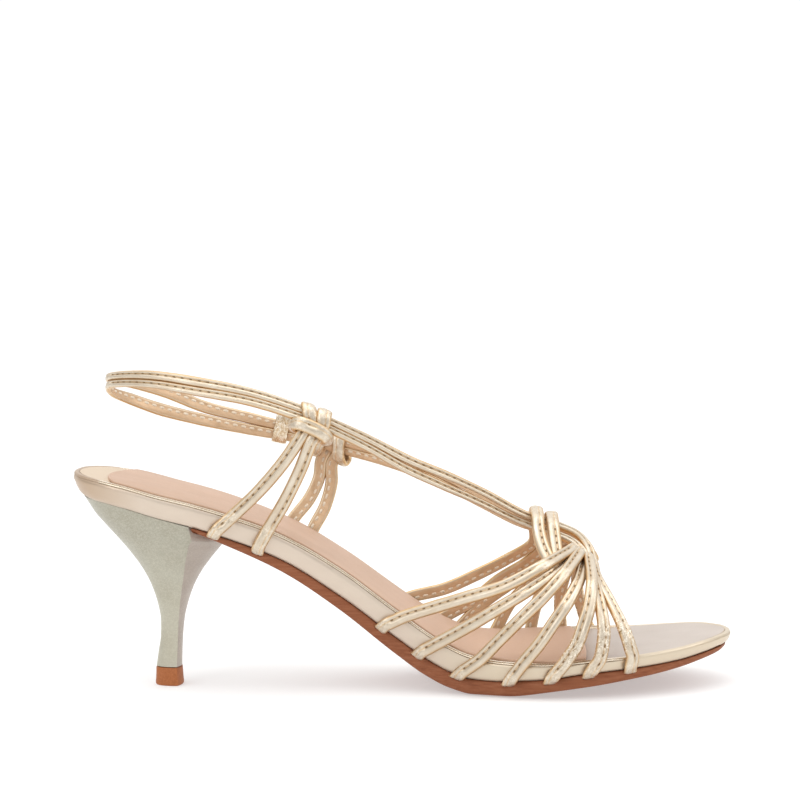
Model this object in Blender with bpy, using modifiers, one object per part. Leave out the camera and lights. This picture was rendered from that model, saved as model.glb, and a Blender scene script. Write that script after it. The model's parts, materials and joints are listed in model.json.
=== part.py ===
"""Strappy sandal on a slim kitten heel, left shoe, built at its real size.

Frame: +X runs from the heel to the toe, +Y to the shoe's outer side, +Z up.
The origin is the middle of the heel tip's flat underside, on the floor.
The numbers below are millimetres, and MM turns them into metres.
"""

import math

import bmesh
import bpy
import numpy as np
from mathutils import Matrix, Vector

MM = 0.001
GAP = 0.3                 # running gap between pieces that touch on the real shoe
SPARE = 0.2               # more room where a faceted strap bends round an edge
FACET_ROOM = 0.1          # more room between two faceted surfaces that curve together

# ---------------------------------------------------------------- the last
# One row for each section of the sole, from the back of the heel to the toe.
# medial and lateral: half widths on the inner and outer side of the centre line
# top: height of the footbed's rim; rand: depth of the footbed's side
# tread: height of the outsole's underside on the centre line
SECTION_COLUMNS = ("x", "medial", "lateral", "top", "rand", "tread")
SECTIONS = (
    (-31.2, 10.0, 10.5, 79.7, 8.4, 72.0),
    (-28.5, 16.4, 16.2, 79.3, 8.4, 70.0),
    (-23.0, 22.4, 21.9, 78.4, 8.4, 68.0),
    (-12.0, 27.0, 26.0, 76.1, 8.4, 65.5),
    (0.0, 28.0, 27.5, 72.6, 8.4, 62.5),
    (14.0, 27.1, 27.0, 68.8, 8.5, 58.0),
    (25.0, 25.8, 26.2, 65.2, 8.7, 53.2),
    (45.0, 22.6, 24.7, 57.0, 9.2, 42.9),
    (65.0, 20.6, 24.5, 44.8, 10.2, 28.8),
    (85.0, 22.0, 25.5, 29.9, 10.3, 12.8),
    (95.0, 24.6, 26.8, 22.8, 10.0, 5.9),
    (104.0, 27.7, 28.8, 17.6, 9.4, 1.7),
    (112.0, 31.0, 31.4, 14.7, 8.6, 0.0),
    (124.0, 35.6, 36.6, 13.2, 7.2, 0.0),
    (138.0, 39.2, 40.0, 13.0, 5.9, 1.7),
    (152.0, 39.6, 37.4, 14.1, 5.0, 3.6),
    (170.0, 36.0, 31.2, 15.2, 4.6, 6.2),
    (184.0, 29.6, 27.2, 16.5, 4.6, 8.5),
    (196.0, 21.2, 18.0, 18.2, 4.2, 11.5),
    (201.8, 13.6, 8.6, 18.9, 4.0, 13.2),
)

# One row for each section of the foot form: height of the instep's ridge.
RIDGE_COLUMNS = ("x", "ridge")
RIDGE = (
    (60.0, 100.0),
    (80.0, 88.0),
    (100.0, 76.0),
    (120.0, 63.5),
    (134.0, 55.5),
    (143.0, 51.0),
    (150.0, 47.5),
    (156.0, 43.5),
    (166.0, 35.0),
    (180.0, 27.0),
    (200.0, 21.0),
)
LAST_SQUARENESS = 0.72    # under 1 makes the foot form's sides rise steeply

# ---------------------------------------------------------------- footbed
HEEL_BULGE = -1.3         # how far the heel's end stands behind its last section
TOE_BULGE = 2.7           # how far the toe stands ahead of its last section
END_REACH = 9.0           # length over which the footbed's end bulges fade
RAND_LEAN = 1.3           # how far the footbed's lower edge stands in, ahead of the heel
SEAT_LEAN = 1.9           # how much more it stands in over the heel
EDGE_ROUND = 0.7          # rounding of the footbed's lower edge
RIM_ROUND = 1.0           # how far the footbed's top edge is rounded inwards
RIM_WIDE = 2.1            # width of the raised rim
SEAT_SINK = 0.9           # how far the footbed's top lies below its rim
SEAT_DISH = 0.5           # further hollow across the middle

# ---------------------------------------------------------------- insole sock
SOCK_BACK = -14.0
SOCK_FRONT_MEDIAL = 152.0
SOCK_FRONT_LATERAL = 147.5
SOCK_STRAIGHT = 104.0     # ahead of this the sock's rows turn with its slanting front edge
SOCK_BACK_BULGE = -6.0    # how far the sock's rounded back end stands behind its corners
SOCK_FRONT_BULGE = 2.2
SOCK_REACH = 24.0         # length over which these bulges fade
SOCK_INSET = 2.7          # from the outline to the sock's edge
SOCK_THICK = 1.2
SOCK_ROUND = 0.4

# ---------------------------------------------------------------- outsole
OUTSOLE_BACK = 13.0       # where the outsole meets the heel's corners
BREAST_BULGE = 9.5        # how far the heel's breast stands ahead of its corners
BREAST_REACH = 26.0       # length over which that bulge fades
OUTSOLE_INSET = 1.7       # from the outline to the outsole's edge
OUTSOLE_EDGE_LIFT = 0.7   # the underside's rounded edge rises this much

# ---------------------------------------------------------------- heel
# One row for each section of the heel, from the seat down: x and z of its rear
# profile, x and z of its front profile, half width, and the share of its length at
# which the breast's corners sit.
HEEL = (
    (-24.7, 63.6, 21.8, 53.3, 22.6, 0.805),
    (-19.8, 57.8, 20.2, 50.9, 20.2, 0.77),
    (-13.6, 50.3, 16.4, 46.4, 16.2, 0.765),
    (-8.6, 43.0, 12.4, 41.0, 12.6, 0.79),
    (-5.5, 36.6, 9.5, 35.6, 9.9, 0.815),
    (-3.5, 30.0, 7.4, 29.8, 7.7, 0.835),
    (-2.6, 24.0, 6.0, 24.0, 6.2, 0.86),
    (-2.8, 18.0, 5.3, 18.0, 5.4, 0.87),
    (-3.8, 12.0, 4.9, 12.0, 5.1, 0.88),
    (-4.6, 7.0, 4.7, 7.0, 5.3, 0.88),
)
HEEL_SIDES = 20
HEEL_INSET = 0.25         # from the footbed's lower edge to the heel's top edge
BREAST_GAP = 0.6          # between the heel's curved front and the outsole's curved end
TIP_TOP = HEEL[-1][1] - GAP
TIP_ROUND = 0.7
TIP_GROW = 0.5            # the tip's lower edge stands out from the heel this much

# ---------------------------------------------------------------- straps
STRAP_WIDE = 4.7
STRAP_THICK = 2.2
STRAP_OUT = GAP + STRAP_THICK / 2.0 + SPARE
TUCK_THICK = 1.2          # the straps are skived where they go under the footbed
TUCK_LENGTH = 7.5         # from a strap's end to where it starts to thicken
TUCK_RAMP = 3.0
CURVE_STEP = 6.0          # longest step along a strap
TURN_LIMIT = 28.0         # degrees that a strap turns between two of its sections

# How a strap's end goes in under the footbed, from its tip to the rand's side.
# share of the way from the foot to the rand's top along x, distance outside the
# outline, and how the strap faces there: under the footbed, round its edge, or out
TUCK_PATH = (
    (-0.16, -6.6, "under"),
    (-0.10, -3.6, "under"),
    (-0.03, -1.1, "under"),
    (0.06, 0.35, "round"),
    (0.20, STRAP_OUT - 0.45, "side"),
    (0.60, STRAP_OUT - 0.1, "side"),
    (1.00, STRAP_OUT, "side"),
)

# Each stage of a vamp strap on its way round the foot form: share of the way, from
# 0 at the rand to 0.5 on the ridge; how far a strap of the upper layer is lifted
# there; the strap's width; and how far it turns to face its own side of the shoe.
VAMP_STAGES = (
    (0.0, 0.0, 4.7, 0.0),
    (0.03, 0.0, 4.7, 0.0),
    (0.08, 0.0, 4.7, 0.0),
    (0.15, 0.5, 4.7, 0.0),
    (0.25, 2.0, 4.5, 0.3),
    (0.36, 2.3, 4.3, 0.7),
    (0.43, 2.4, 4.1, 1.0),
    (0.48, -1.7, 3.7, 0.9),
)
# One row for each vamp strap: name, side, x at the rand's lower edge, then x at
# each of VAMP_STAGES, and the layer in which it crosses its neighbours.
VAMP = (
    ("m1", -1, 79.5, (88.0, 98.0, 110.0, 125.0, 137.0, 145.0, 148.0, 149.3), 1),
    ("m2", -1, 92.5, (100.8, 110.5, 121.0, 131.5, 140.8, 146.5, 148.8, 150.0), 0),
    ("m3", -1, 106.5, (115.3, 123.0, 130.3, 137.6, 144.6, 148.6, 150.0, 150.8), 1),
    ("m4", -1, 125.0, (130.0, 136.2, 141.0, 145.8, 149.8, 151.6, 152.3, 152.7), 0),
    ("m5", -1, 139.5, (144.5, 149.0, 151.3, 153.3, 153.9, 153.2, 152.3, 151.6), 1),
    ("m6", -1, 153.0, (156.7, 158.0, 158.5, 158.0, 156.5, 154.6, None, None), 0),
    ("m7", -1, 167.5, (168.4, 167.5, 166.4, 164.6, 161.0, 156.6, None, None), 0),
    ("l1", 1, 79.0, (88.5, 100.3, 112.0, 124.3, 133.5, None, None, None), 0),
    ("l2", 1, 92.0, (100.5, 111.0, 120.0, 130.5, 137.5, None, None, None), 0),
    ("l3", 1, 101.0, (107.0, 115.0, 125.3, 134.0, 142.0, 147.0, 149.1, 150.1), 1),
    ("l4", 1, 115.0, (119.5, 124.2, 131.0, 138.5, 145.0, 149.0, 150.6, 151.6), 0),
    ("l5", 1, 131.0, (132.4, 134.2, 137.3, 141.5, 146.5, 150.0, 151.5, 152.4), 1),
    ("l6", 1, 144.0, (143.8, 143.5, 144.0, 145.7, 148.7, 151.5, None, None), 0),
    ("l7", 1, 156.5, (153.8, 152.0, 150.4, 150.2, 151.5, 153.8, None, None), 0),
)
POCKET_GROW = GAP + 0.2   # room round a strap's end in the outsole

# Where the two front lateral straps cross over the ankle strands and go down on
# the medial side, as the two wraps of the toe knot.
WRAPS = {
    "l1": (
        (134.6, 19.0, 53.6),
        (134.6, 12.4, 58.0),
        (134.9, 7.0, 61.6),
        (135.4, 0.0, 62.9),
        (135.9, -6.4, 60.8),
        (136.2, -11.8, 56.6),
        (137.6, -17.4, 51.4),
        (140.6, -22.8, 46.0),
        (144.6, -26.6, 42.0),
    ),
    "l2": (
        (140.2, 18.6, 50.8),
        (140.4, 12.4, 55.6),
        (140.5, 7.0, 59.5),
        (140.8, 0.0, 60.9),
        (141.2, -6.4, 58.8),
        (141.7, -11.6, 54.6),
        (142.4, -17.2, 49.6),
        (143.4, -22.6, 45.0),
        (144.8, -27.0, 40.6),
    ),
}

# For each place in ARCH: how far the strand faces sideways there, and its width.
ARCH_TURNS = ((0.2, 4.0), (0.3, 3.7), (0.5, 3.4), (0.8, 3.1))
# Where the four ankle strands come over the arch of the toe knot.
ARCH = {
    "m7": ((155.4, -9.0, 44.6), (153.8, -3.6, 49.5), (150.0, -1.6, 53.8), (143.2, -1.2, 57.0)),
    "m6": ((153.8, -14.6, 43.4), (152.6, -8.6, 47.0), (149.0, -5.6, 51.0), (142.4, -4.6, 54.2)),
    "l7": ((156.0, 9.0, 43.6), (153.6, 5.2, 48.2), (149.2, 4.0, 52.4), (142.6, 3.8, 56.2)),
    "l6": ((153.4, 15.4, 42.6), (151.4, 11.0, 46.6), (147.6, 9.0, 50.2), (141.8, 8.2, 53.6)),
}

# The double strap, as the middle line of its two strands, from the toe knot
# round the back of the heel and back: x, y, z, the distance between the strands,
# and the width of each. Towards the toe the strands lie one above the other.
UPRIGHT_FROM = 50.0
UPRIGHT_OVER = 45.0
TETHER_MEDIAL = (
    (131.0, -3.4, 59.8, 3.0, 2.8),
    (115.5, -9.2, 68.6, 3.7, 2.9),
    (103.5, -15.6, 75.0, 3.9, 3.1),
    (90.0, -21.6, 81.9, 3.3, 3.2),
    (77.0, -26.2, 89.7, 2.8, 3.0),
    (64.5, -29.2, 96.2, 2.8, 3.0),
    (54.0, -30.0, 100.9, 3.0, 3.2),
    (36.0, -28.6, 106.9, 3.1, 3.4),
    (15.5, -25.4, 110.9, 3.4, 3.5),
    (0.0, -20.6, 113.1, 3.2, 3.2),
    (-12.0, -13.4, 113.1, 2.9, 2.9),
    (-18.6, -5.0, 111.9, 3.0, 2.8),
)
TETHER_LATERAL = (
    (-19.0, 5.0, 109.4, 4.4, 3.4),
    (-13.4, 13.4, 107.0, 6.3, 4.4),
    (-3.0, 20.0, 102.8, 7.0, 4.7),
    (12.0, 25.4, 97.2, 4.9, 4.6),
    (28.0, 28.4, 93.1, 4.2, 4.1),
    (43.0, 29.6, 89.6, 3.4, 3.6),
    (54.0, 29.6, 86.7, 3.2, 3.4),
    (66.0, 28.6, 83.4, 3.1, 3.3),
    (79.0, 25.8, 79.9, 3.1, 3.2),
    (96.0, 20.0, 74.1, 3.0, 3.1),
    (115.0, 12.0, 65.5, 3.0, 3.0),
    (131.0, 6.2, 57.9, 2.9, 2.8),
)

# Cow hitch of the rear knots, from its rear tail to its front tail: towards the
# toe, away from the foot, and up, from the middle of the strands, then its width and the
# degrees by which it faces backwards.
HITCH = (
    (-2.0, 2.6, -8.0, 4.7, 0.0),
    (-1.4, 2.6, -4.6, 4.8, 0.0),
    (-0.6, 2.7, -1.4, 5.0, 0.0),
    (-2.0, 2.4, 2.0, 5.3, 0.0),
    (-3.4, 0.0, 3.9, 5.4, 0.0),
    (-3.4, -2.2, 2.6, 5.0, 0.0),
    (-3.5, -2.8, -0.6, 4.7, 0.0),
    (-4.3, -2.4, -4.2, 4.6, 0.0),
    (-5.4, 0.0, -5.8, 4.2, 0.0),
    (-6.1, 2.8, -4.6, 4.5, 60.0),
    (-4.0, 5.0, -3.3, 4.9, 25.0),
    (0.6, 5.6, -3.2, 5.0, 0.0),
    (5.6, 5.0, -3.9, 4.9, -25.0),
    (7.6, 2.8, -5.2, 4.5, -60.0),
    (6.6, 0.0, -6.6, 4.2, 0.0),
    (4.8, -2.4, -4.8, 4.6, 0.0),
    (3.6, -2.8, -0.6, 4.7, 0.0),
    (3.0, -2.2, 2.6, 5.0, 0.0),
    (2.9, 0.0, 3.9, 5.4, 0.0),
    (3.4, 2.4, 1.8, 5.3, 0.0),
    (4.1, 2.7, -1.6, 5.0, 0.0),
    (3.0, 2.6, -4.8, 4.7, 0.0),
    (2.2, 2.6, -8.2, 4.7, 0.0),
)
# One row for each rear knot: name, side, middle of the strands that it grips, and
# for its rear and its front tail: x at the rand's top and at its lower edge, and
# how far the tail bows forwards.
KNOTS = (
    ("medial", -1, (58.0, -29.8, 99.0), (27.7, 20.8, 2.0), (40.3, 36.2, 1.2)),
    ("lateral", 1, (58.4, 29.4, 85.5), (44.3, 40.4, 2.6), (51.6, 48.6, 2.2)),
)

# The keeper round the lateral pair.
KEEPER_AT = 40.0
KEEPER_WIDE = 5.6
KEEPER_RISE = 0.9         # the keeper stands this much higher than the strands' middle
KEEPER_THICK = 0.6
KEEPER_SIDES = 16
KEEPER_EASE = 0.15       # slack between the keeper and the strands

COLOURS = {
    "gold": ((0.78, 0.66, 0.47), 0.30, 0.85),
    "sock": ((0.80, 0.58, 0.43), 0.60, 0.0),
    "heel": ((0.56, 0.55, 0.46), 0.40, 0.75),
    "brown": ((0.40, 0.17, 0.10), 0.55, 0.0),
    "tip": ((0.45, 0.17, 0.08), 0.50, 0.0),
}


# ---------------------------------------------------------------- small maths
def monotone(xs, ys):
    """A smooth curve through the rows that never swings past them."""
    xs = np.asarray(xs, float)
    ys = np.asarray(ys, float)
    step = np.diff(xs)
    slope = np.diff(ys) / step
    tangent = np.zeros(len(xs))
    tangent[0] = slope[0]
    tangent[-1] = slope[-1]
    for k in range(1, len(xs) - 1):
        if slope[k - 1] * slope[k] > 0.0:
            before = 2.0 * step[k] + step[k - 1]
            after = step[k] + 2.0 * step[k - 1]
            tangent[k] = (before + after) / (before / slope[k - 1] + after / slope[k])

    def value(x):
        x = min(max(float(x), xs[0]), xs[-1])
        k = min(int(np.searchsorted(xs, x, side="right")) - 1, len(xs) - 2)
        t = (x - xs[k]) / step[k]
        rise = (3.0 - 2.0 * t) * t * t
        return (ys[k] + (ys[k + 1] - ys[k]) * rise
                + step[k] * t * (1.0 - t) * ((1.0 - t) * tangent[k] - t * tangent[k + 1]))

    return value


def column(rows, names, name):
    """One named column of a table."""
    place = names.index(name)
    return [row[place] for row in rows]


def section_curve(name):
    return monotone(column(SECTIONS, SECTION_COLUMNS, "x"), column(SECTIONS, SECTION_COLUMNS, name))


medial_half = section_curve("medial")
lateral_half = section_curve("lateral")
rim_height = section_curve("top")
rand_depth = section_curve("rand")
tread_height = section_curve("tread")
ridge_height = monotone(column(RIDGE, RIDGE_COLUMNS, "x"), column(RIDGE, RIDGE_COLUMNS, "ridge"))


def footbed_underside(x):
    return rim_height(x) - rand_depth(x)


def unit(v):
    v = np.asarray(v, float)
    return v / np.linalg.norm(v)


def soft_step(t):
    t = min(max(t, 0.0), 1.0)
    return t * t * (3.0 - 2.0 * t)


def through(rows, step):
    """Points, normals and widths at about equal steps along a smooth curve through the rows."""
    points = np.array([row[0] for row in rows], float)
    sides = np.array([(*row[1], row[2]) for row in rows], float)
    count = len(points)
    padded = np.vstack([2 * points[0] - points[1], points, 2 * points[-1] - points[-2]])
    knots = np.concatenate([[0.0], np.cumsum(np.sqrt(np.linalg.norm(np.diff(padded, axis=0), axis=1)))])
    fine_points = []
    fine_sides = []
    per_span = 12
    for k in range(count - 1):
        t0, t1, t2, t3 = knots[k:k + 4]
        p0, p1, p2, p3 = padded[k:k + 4]
        last = per_span + 1 if k == count - 2 else per_span
        for n in range(last):
            share = n / per_span
            t = t1 + (t2 - t1) * share
            a1 = (t1 - t) / (t1 - t0) * p0 + (t - t0) / (t1 - t0) * p1
            a2 = (t2 - t) / (t2 - t1) * p1 + (t - t1) / (t2 - t1) * p2
            a3 = (t3 - t) / (t3 - t2) * p2 + (t - t2) / (t3 - t2) * p3
            b1 = (t2 - t) / (t2 - t0) * a1 + (t - t0) / (t2 - t0) * a2
            b2 = (t3 - t) / (t3 - t1) * a2 + (t - t1) / (t3 - t1) * a3
            fine_points.append((t2 - t) / (t2 - t1) * b1 + (t - t1) / (t2 - t1) * b2)
            fine_sides.append((1 - share) * sides[k] + share * sides[k + 1])
    points = np.array(fine_points)
    sides = np.array(fine_sides)
    kept = adaptive(points, step)
    return points[kept], sides[kept, :3], sides[kept, 3]


def adaptive(points, step):
    """Numbers of the points at which the curve has run a step or turned enough."""
    turn_limit = math.radians(TURN_LIMIT)
    shortest = 1.1
    heading = np.diff(points, axis=0)
    heading = heading / np.linalg.norm(heading, axis=1)[:, None]
    kept = [0]
    run = 0.0
    turned = 0.0
    for k in range(1, len(points) - 1):
        run += np.linalg.norm(points[k] - points[k - 1])
        turned += math.acos(min(1.0, float(heading[k - 1] @ heading[k])))
        if run >= step or (turned >= turn_limit and run >= shortest):
            kept.append(k)
            run = 0.0
            turned = 0.0
    if len(kept) > 1 and np.linalg.norm(points[-1] - points[kept[-1]]) < shortest:
        kept.pop()
    kept.append(len(points) - 1)
    return kept


# ---------------------------------------------------------------- the foot form
def last_point(x, share, side, out=0.0):
    """Point on the foot form; share runs from 0 at the rand to 0.5 on the ridge."""
    medial = medial_half(x) + out
    lateral = lateral_half(x) + out
    angle = math.pi * share
    across = math.cos(angle) ** 0.9 if share < 0.5 else -abs(math.cos(angle)) ** 0.9
    middle = (lateral - medial) / 2.0
    half = (lateral + medial) / 2.0
    rise = math.sin(angle) ** LAST_SQUARENESS if share > 0.0 else 0.0
    height = rim_height(x) + (ridge_height(x) - rim_height(x)) * rise
    return np.array([x, middle + side * half * across, height])


def last_normal(x, share, side, out=0.0):
    """Outward direction of the foot form at a point."""
    small = 0.012
    share = max(share, small)
    along = last_point(x + 1.0, share, side, out) - last_point(x - 1.0, share, side, out)
    around = last_point(x, share + small, side, out) - last_point(x, share - small, side, out)
    normal = unit(np.cross(along, around))
    if normal[1] * side < 0.0 and share < 0.4:
        normal = -normal
    if normal[2] < 0.0 and share >= 0.4:
        normal = -normal
    return normal


# ---------------------------------------------------------------- mesh making
def new_object(name, verts, faces, material, collection):
    """A mesh object from millimetre points; a closed one gets its faces turned outwards."""
    mesh = bpy.data.meshes.new(name)
    mesh.from_pydata([tuple(MM * float(c) for c in v) for v in verts], [], faces)
    mesh.update()
    shape = bmesh.new()
    shape.from_mesh(mesh)
    if all(edge.is_manifold for edge in shape.edges):
        bmesh.ops.recalc_face_normals(shape, faces=shape.faces)
    shape.to_mesh(mesh)
    shape.free()
    obj = bpy.data.objects.new(name, mesh)
    if material is not None:
        mesh.materials.append(material)
    collection.objects.link(obj)
    return obj


def smooth(obj):
    obj.data.shade_smooth()
    obj.data.set_sharp_from_angle(angle=math.radians(40.0))


def plate(rows, across, inset, levels):
    """A plate that follows the last's outline.

    rows: (x on the medial edge, x on the lateral edge, bulge of the row's middle)
    inset: from the outline to the plate's edge
    levels: (height function, extra inset) for each ring of the side, top first;
    the first and the last also give the height of the whole top and underside
    """
    plan = []
    for x_medial, x_lateral, bulge in rows:
        medial = np.array([x_medial, -(medial_half(x_medial) - inset)])
        lateral = np.array([x_lateral, lateral_half(x_lateral) - inset])
        line = []
        for j in range(across + 1):
            share = j / across
            point = medial * (1.0 - share) + lateral * share
            line.append(point + np.array([bulge * 4.0 * share * (1.0 - share), 0.0]))
        plan.append(line)
    count = len(rows)
    rim = [(i, 0) for i in range(count)]
    rim += [(count - 1, j) for j in range(1, across + 1)]
    rim += [(i, across) for i in range(count - 2, -1, -1)]
    rim += [(0, j) for j in range(across - 1, 0, -1)]
    edge = [plan[i][j] for i, j in rim]
    inward = []
    for k, point in enumerate(edge):
        ahead = edge[(k + 1) % len(edge)] - point
        behind = point - edge[k - 1]
        run = unit(unit(ahead) + unit(behind))
        inward.append(np.array([-run[1], run[0]]))
    verts = []
    faces = []
    rings = []
    for height, extra in levels:
        ring = []
        for point, inner in zip(edge, inward):
            amount = extra(point[0]) if callable(extra) else extra
            place = point + inner * amount
            ring.append(len(verts))
            verts.append((place[0], place[1], height(place[0], place[1])))
        rings.append(ring)
    for upper, lower in zip(rings, rings[1:]):
        for k in range(len(edge)):
            n = (k + 1) % len(edge)
            faces.append((upper[k], upper[n], lower[n], lower[k]))
    for ring, height, turned in ((rings[0], levels[0][0], True), (rings[-1], levels[-1][0], False)):
        index = dict(zip(rim, ring))
        for i in range(1, count - 1):
            for j in range(1, across):
                index[(i, j)] = len(verts)
                x, y = plan[i][j]
                verts.append((x, y, height(x, y)))
        for i in range(count - 1):
            for j in range(across):
                quad = (index[(i, j)], index[(i + 1, j)], index[(i + 1, j + 1)], index[(i, j + 1)])
                faces.append(quad[::-1] if turned else quad)
    return verts, faces


def loft(rings):
    """A closed skin over rings of equal length, with flat ends."""
    verts = [tuple(p) for ring in rings for p in ring]
    size = len(rings[0])
    faces = []
    for r in range(len(rings) - 1):
        for k in range(size):
            n = (k + 1) % size
            a = r * size
            b = a + size
            faces.append((a + k, a + n, b + n, b + k))
    faces.append(tuple(range(size))[::-1])
    end = (len(rings) - 1) * size
    faces.append(tuple(range(end, end + size)))
    return verts, faces


STRAP_SECTION = ((-0.5, 0.0), (-0.34, 0.5), (0.34, 0.5), (0.5, 0.0), (0.34, -0.5), (-0.34, -0.5))


def strap(rows, tucks, grow=0.0):
    """A flat strap with rounded edges along a route of (point, outward direction, width).

    tucks: whether the first and the last end go under the footbed and are skived
    grow: added all round, for the pocket that takes a strap's end
    """
    points, normals, widths = through(rows, CURVE_STEP)
    length = np.concatenate([[0.0], np.cumsum(np.linalg.norm(np.diff(points, axis=0), axis=1))])
    rings = []
    for k, (point, normal, wide) in enumerate(zip(points, normals, widths)):
        heading = unit(points[min(k + 1, len(points) - 1)] - points[max(k - 1, 0)])
        across = unit(np.cross(heading, normal))
        outward = unit(np.cross(across, heading))
        thick = STRAP_THICK
        for tucked, run in zip(tucks, (length[k], length[-1] - length[k])):
            if tucked:
                ramp = soft_step((run - TUCK_LENGTH) / TUCK_RAMP)
                thick = min(thick, TUCK_THICK + (STRAP_THICK - TUCK_THICK) * ramp)
        if k == 0:
            point = point - heading * grow
        rings.append([point + across * a * (wide + 2 * grow) + outward * b * (thick + 2 * grow)
                      for a, b in STRAP_SECTION])
    return loft(rings)


# ---------------------------------------------------------------- strap routes
def foot_rows(side, x_foot, x_top):
    """The strap's end: from under the footbed, round its lower edge and up its side."""
    half = medial_half if side < 0 else lateral_half
    slope = (footbed_underside(x_foot + 4.0) - footbed_underside(x_foot - 4.0)) / 8.0
    spread = (half(x_foot + 3.0) - half(x_foot - 3.0)) / 6.0
    away = unit(np.array([-spread, side, 0.0]))
    down = unit(np.array([slope, 0.0, -1.0]))
    facing = {"under": down, "round": unit(0.8 * down + away), "side": away}
    drop = (GAP + TUCK_THICK / 2.0 + SPARE) * math.hypot(1.0, slope)
    rows = []
    for share, outside, face in TUCK_PATH:
        x = x_foot + share * (x_top - x_foot)
        height = footbed_underside(x)
        if face == "under":
            height -= drop
        elif face == "side":
            height += share * rand_depth(x)
        rows.append((np.array([x, side * (half(x) + outside), height]), facing[face], STRAP_WIDE))
    return rows


def vamp_rows(side, x_foot, xs, layer):
    """Rows of a vamp strap, from its end under the footbed up towards the ridge."""
    rows = foot_rows(side, x_foot, xs[0])
    for (share, lift, wide, turn), x in list(zip(VAMP_STAGES, xs))[1:]:
        if x is None:
            continue
        normal = last_normal(x, share, side, STRAP_OUT)
        point = last_point(x, share, side, STRAP_OUT) + layer * lift * normal
        rows.append((point, unit(normal + np.array([0.0, side * turn, 0.0])), wide))
    return rows


def over_ridge(x, layer):
    """Last rows of a medial strap that ends on the lateral side, under the ankle strands."""
    rows = []
    _, lift, wide, _ = VAMP_STAGES[-1]
    for share in (0.45, 0.40):
        normal = last_normal(x, share, 1, STRAP_OUT)
        point = last_point(x, share, 1, STRAP_OUT) + layer * lift * normal
        rows.append((point, normal, wide))
    return rows


FOOT_CORE = np.array([(22.0, 0.0, 150.0), (22.0, 0.0, 104.0), (34.0, 0.0, 92.0), (60.0, 0.0, 74.0),
                      (100.0, 0.0, 46.0), (135.0, 0.0, 24.0), (165.0, 0.0, 20.0), (200.0, 0.0, 20.0)])


def away_from_core(point):
    """Direction from the nearest point of the foot's and leg's middle line."""
    best = None
    for a, b in zip(FOOT_CORE, FOOT_CORE[1:]):
        share = min(max(float((point - a) @ (b - a)) / float((b - a) @ (b - a)), 0.0), 1.0)
        offset = point - (a + (b - a) * share)
        if best is None or np.linalg.norm(offset) < np.linalg.norm(best):
            best = offset
    return unit(best)


def strand_rows(table, up):
    """One strand of the double strap; up is 1 for the upper strand and -1 for the lower."""
    centres = np.array([row[:3] for row in table])
    rows = []
    for k, (x, y, _, spread, wide) in enumerate(table):
        heading = unit(centres[min(k + 1, len(table) - 1)] - centres[max(k - 1, 0)])
        level = soft_step((x - UPRIGHT_FROM) / UPRIGHT_OVER)
        sideways = np.array([0.0, math.copysign(level, y), 0.0])
        normal = unit(away_from_core(centres[k]) * (1.0 - level) + sideways)
        across = unit(np.cross(heading, normal))
        if across[2] < 0.0 or (abs(across[2]) < 0.3 and across[1] * centres[k][1] > 0.0):
            across = -across
        rows.append((centres[k] + across * up * spread / 2.0, normal, wide))
    return rows


def tether_route(up, medial_rows, lateral_rows):
    """A whole strand: medial foot, toe knot, ankle, round the heel and back to the lateral foot."""
    rows = list(medial_rows)
    rows += strand_rows(TETHER_MEDIAL + TETHER_LATERAL, up)
    rows += list(lateral_rows)[::-1]
    return rows


def arch_rows(name):
    """Where an ankle strand comes over the arch, turning towards its own side of the shoe."""
    rows = []
    for p, (turn, wide) in zip(ARCH[name], ARCH_TURNS):
        sideways = np.array([0.0, math.copysign(turn, p[1]), 0.0])
        rows.append((np.array(p), unit(away_from_core(np.array(p)) + sideways), wide))
    return rows


def wrap_rows(name):
    """Over the ankle strands: flat against the bundle, whose middle runs at x, 1, 55."""
    rows = []
    for p in WRAPS[name]:
        point = np.array(p)
        middle = np.array([p[0], 1.0, 50.0])
        rows.append((point, unit(point - middle), STRAP_WIDE))
    return rows


def tether_heading(place):
    centres = np.array([row[:3] for row in TETHER_MEDIAL + TETHER_LATERAL])
    near = int(np.argmin(np.linalg.norm(centres - np.array(place), axis=1)))
    heading = centres[near + 1] - centres[near - 1]
    return unit(heading if heading[0] > 0.0 else -heading)


def hitch_route(side, place, rear_tail, front_tail):
    """A rear knot: one strap, from its rear tail's end round the knot to its front tail's end."""
    place = np.array(place)
    along = tether_heading(place)
    out = unit(away_from_core(place) * np.array([1.0, 1.0, 0.0]))
    out = unit(out - along * float(out @ along))
    up = unit(np.cross(along, out))
    if up[2] < 0.0:
        up = -up
    rows = []
    for a, o, u, wide, turn in HITCH:
        outside = o > 2.5 and u < 1.0
        facing = out if outside else unit(out * o + up * u * 0.6)
        facing = facing * math.cos(math.radians(turn)) - along * math.sin(math.radians(turn))
        rows.append((place + along * a + out * o + up * u, facing, wide))

    def tail(x_top, x_foot, bow, start):
        ends = foot_rows(side, x_foot, x_top)
        low = ends[-1][0]
        for share in (0.33, 0.7):
            arch = 4.0 * share * (1.0 - share)
            offset = np.array([bow * arch, side * 1.6 * arch, 0.0])
            ends.append((low + (start - low) * share + offset, np.array([0.0, side, 0.0]), STRAP_WIDE))
        return ends

    rear = tail(*rear_tail, rows[0][0])
    front = tail(*front_tail, rows[-1][0])
    return rear + rows + front[::-1]


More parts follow.
